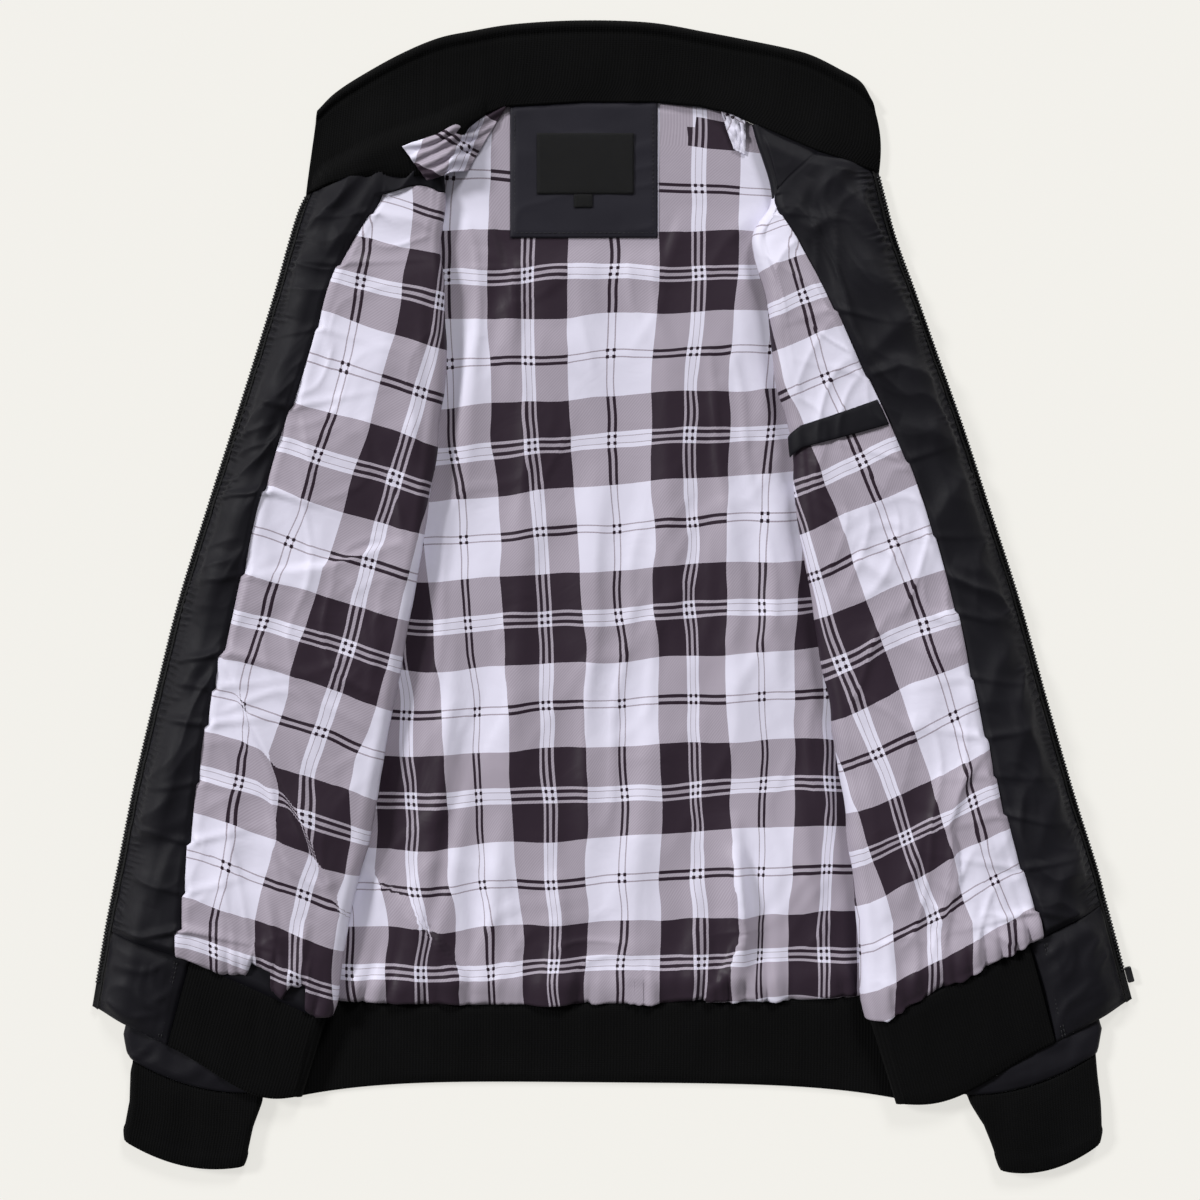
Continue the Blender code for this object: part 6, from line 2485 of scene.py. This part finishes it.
@dataclass
class Topstitch:
    """Rows of short stitches on the cloth."""

    wardrobe: Wardrobe
    tailor: Tailor
    pitch: float = 3.2
    length: float = 2.3
    thickness: float = 0.42
    dip: float = 0.35

    def stitch(self) -> bpy.types.Object:
        """Model one stitch: a short thread that dips into the cloth at both ends."""
        clear_selection()
        bpy.ops.mesh.primitive_cylinder_add(vertices=5, radius=self.thickness * MM / 2,
                                            depth=self.length * MM, rotation=(0.0, math.pi / 2, 0.0))
        piece = bpy.context.object
        settle(piece)
        edit_all(bpy.ops.mesh.bisect, plane_co=(0.0, 0.0, 0.0), plane_no=(1.0, 0.0, 0.0))
        for vert in piece.data.vertices:
            share = abs(vert.co.x) / (self.length * MM / 2)
            vert.co.z -= self.dip * MM * share ** 2
        return piece

    def row(self, name: str, line: Array, slot: str) -> None:
        """Lay a row of stitches.

        Args:
            name: the piece's name.
            line: points on the cloth.
            slot: the record's material slot.
        """
        places, ways = along_line(line, self.pitch)
        matrices = [frame_at(place, way, (0.0, 0.0, 1.0)) for place, way in zip(places, ways)]
        self.tailor.declare(strew(name, self.stitch(), matrices, self.wardrobe.thread), slot)


@dataclass
class ZipSlider:
    """Slider in its box at the bottom of the right zip."""

    form: FrontForm
    wardrobe: Wardrobe
    tailor: Tailor
    width: float = 4.6
    length: float = 11.0
    height: float = 3.4
    bevel: float = 0.9
    inset: float = 0.5

    def build(self) -> None:
        """Model the slider: a bevelled body with a sunk top."""
        zero = np.zeros(1)
        row = zero + SLIDER_ROW
        foot = self.form.face(zero, row)[0] + self.form.normal(zero, row)[0] * LIFT_LINING
        run = self.form.face(zero, zero + HEM_ROW)[0] - self.form.face(zero, zero + BAND_ROW)[0]
        clear_selection()
        bpy.ops.mesh.primitive_cube_add(size=MM)
        piece = bpy.context.object
        piece.name = piece.data.name = "zip_slider_body"
        piece.scale = (self.width, self.length, self.height)
        settle(piece)
        edit_all(bpy.ops.mesh.bevel, offset=self.bevel * MM, segments=3, affect="EDGES")
        for polygon in piece.data.polygons:
            polygon.select = polygon.normal.z > 0.95
        bpy.ops.object.mode_set(mode="EDIT")
        bpy.ops.mesh.inset(thickness=self.inset * MM)
        bpy.ops.transform.translate(value=(0.0, 0.0, -self.inset * MM))
        bpy.ops.mesh.select_all(action="DESELECT")
        bpy.ops.object.mode_set(mode="OBJECT")
        piece.data.shade_smooth()
        piece.location = Vector(foot + np.array([self.width / 2 + 2 * GAP, 0.0, GAP])) * MM
        piece.rotation_euler.z = math.atan2(-run[0], run[1])
        bpy.context.view_layer.update()
        settle(piece)
        piece.data.materials.append(self.wardrobe.metal)
        self.tailor.declare(piece, "slider", "zip_slider")


@dataclass(frozen=True)
class Lamp:
    """An even light that faces the jacket: its angle in degrees softens its shadows."""

    name: str
    place: tuple[float, float, float]
    angle: float
    power: float

    def build(self) -> None:
        """Set it up."""
        bpy.ops.object.light_add(type="SUN", location=self.place)
        lamp = bpy.context.object
        lamp.name = self.name
        lamp.data.angle = math.radians(self.angle)
        lamp.data.energy = self.power
        lamp.rotation_euler = (-Vector(self.place)).to_track_quat("-Z", "Y").to_euler()


@dataclass
class Studio:
    """Pale floor, soft light and the camera straight above, in metres."""

    wardrobe: Wardrobe
    lamps: tuple[Lamp, ...] = (
        Lamp("key_light", (-1.35, 0.6, 1.0), 12.0, 2.45),
        Lamp("fill_light", (0.45, 1.4, 0.95), 16.0, 1.75),
    )
    sky: tuple[float, float, float, float] = (1.0, 0.995, 0.98, 1.0)
    sky_strength: float = 0.22
    floor_size: float = 30.0
    floor_drop: float = 0.0004
    jacket_top: float = 0.012
    camera_x: float = -0.0094
    camera_y: float = -0.0034
    view_width: float = 0.8256
    lens: float = 85.0
    sensor: float = 36.0

    def floor(self) -> None:
        """Lay the floor."""
        clear_selection()
        bpy.ops.mesh.primitive_plane_add(size=self.floor_size, location=(0.0, 0.0, -self.floor_drop))
        floor = bpy.context.object
        floor.name = "studio_floor"
        settle(floor)
        floor.data.materials.append(self.wardrobe.floor)

    def camera(self) -> None:
        """Set the camera."""
        bpy.ops.object.camera_add()
        camera = bpy.context.object
        camera.data.lens = self.lens
        camera.data.sensor_width = self.sensor
        distance = self.view_width * self.lens / self.sensor
        camera.location = (self.camera_x, self.camera_y, distance + self.jacket_top)
        camera.rotation_euler = (0.0, 0.0, 0.0)
        camera.data.clip_end = 50.0
        bpy.context.scene.camera = camera

    def build(self) -> None:
        """Build the studio."""
        self.floor()
        self.camera()
        for lamp in self.lamps:
            lamp.build()
        world = bpy.data.worlds.new("pale_room")
        world.use_nodes = True
        background = world.node_tree.nodes["Background"]
        background.inputs["Color"].default_value = self.sky
        background.inputs["Strength"].default_value = self.sky_strength
        bpy.context.scene.world = world
        bpy.context.scene.view_settings.view_transform = "Standard"


@dataclass
class Jacket:
    """The whole jacket."""

    wardrobe: Wardrobe
    tailor: Tailor

    def sewing(self, left: OpenedFront, right: OpenedFront) -> None:
        """Lay the rows of topstitching that show.

        Args:
            left: left front.
            right: right front.
        """
        stitches = Topstitch(self.wardrobe, self.tailor)
        inset = 3.2
        level = LIFT_TRIM + PATCH_WALL + 0.35
        box = [(PATCH_LEFT + inset, 333.0), (PATCH_LEFT + inset, PATCH_BOTTOM + inset),
               (PATCH_RIGHT - inset, PATCH_BOTTOM + inset), (PATCH_RIGHT - inset, 333.0)]
        stitches.row("patch_stitches", np.array([(x, y, level) for x, y in box]), "shell")
        for front in (left, right):
            name = front.form.side.value
            rows = spread((HEM_ROW + 0.06, BAND_ROW - 0.03, 30))
            for number, distance in enumerate((0.028, 0.06)):
                station = front.form.band_seam(rows) - SEAM - 0.06 - distance
                line = front.form.face(station, rows) + front.form.normal(station, rows) * (RIB + 1.3)
                stitches.row(f"{name}_tab_stitches_{number}", line, "shell")

    def build(self) -> None:
        """Build every sub-assembly in order."""
        left = OpenedFront(FrontForm(Side.LEFT), self.wardrobe, self.tailor)
        right = OpenedFront(FrontForm(Side.RIGHT), self.wardrobe, self.tailor)
        BackPanel(BackForm(left.form, right.form), self.wardrobe, self.tailor).build()
        RibCollar(self.wardrobe, self.tailor).build()
        NeckTrim(self.wardrobe, self.tailor).build()
        for front in (left, right):
            front.build()
            NeckTuck(front.form, self.wardrobe, self.tailor).build()
            SleeveEnd(front.form.side, self.wardrobe, self.tailor).build()
            ZipTeeth(front).build()
        PocketWelt(right).build()
        ZipSlider(right.form, self.wardrobe, self.tailor).build()
        self.sewing(left, right)


def main() -> None:
    """Build the jacket and its studio."""
    logging.basicConfig(level=logging.INFO, format="%(message)s")
    wardrobe = Wardrobe.build()
    Jacket(wardrobe, Tailor()).build()
    Studio(wardrobe).build()


if __name__ == "__main__":
    main()
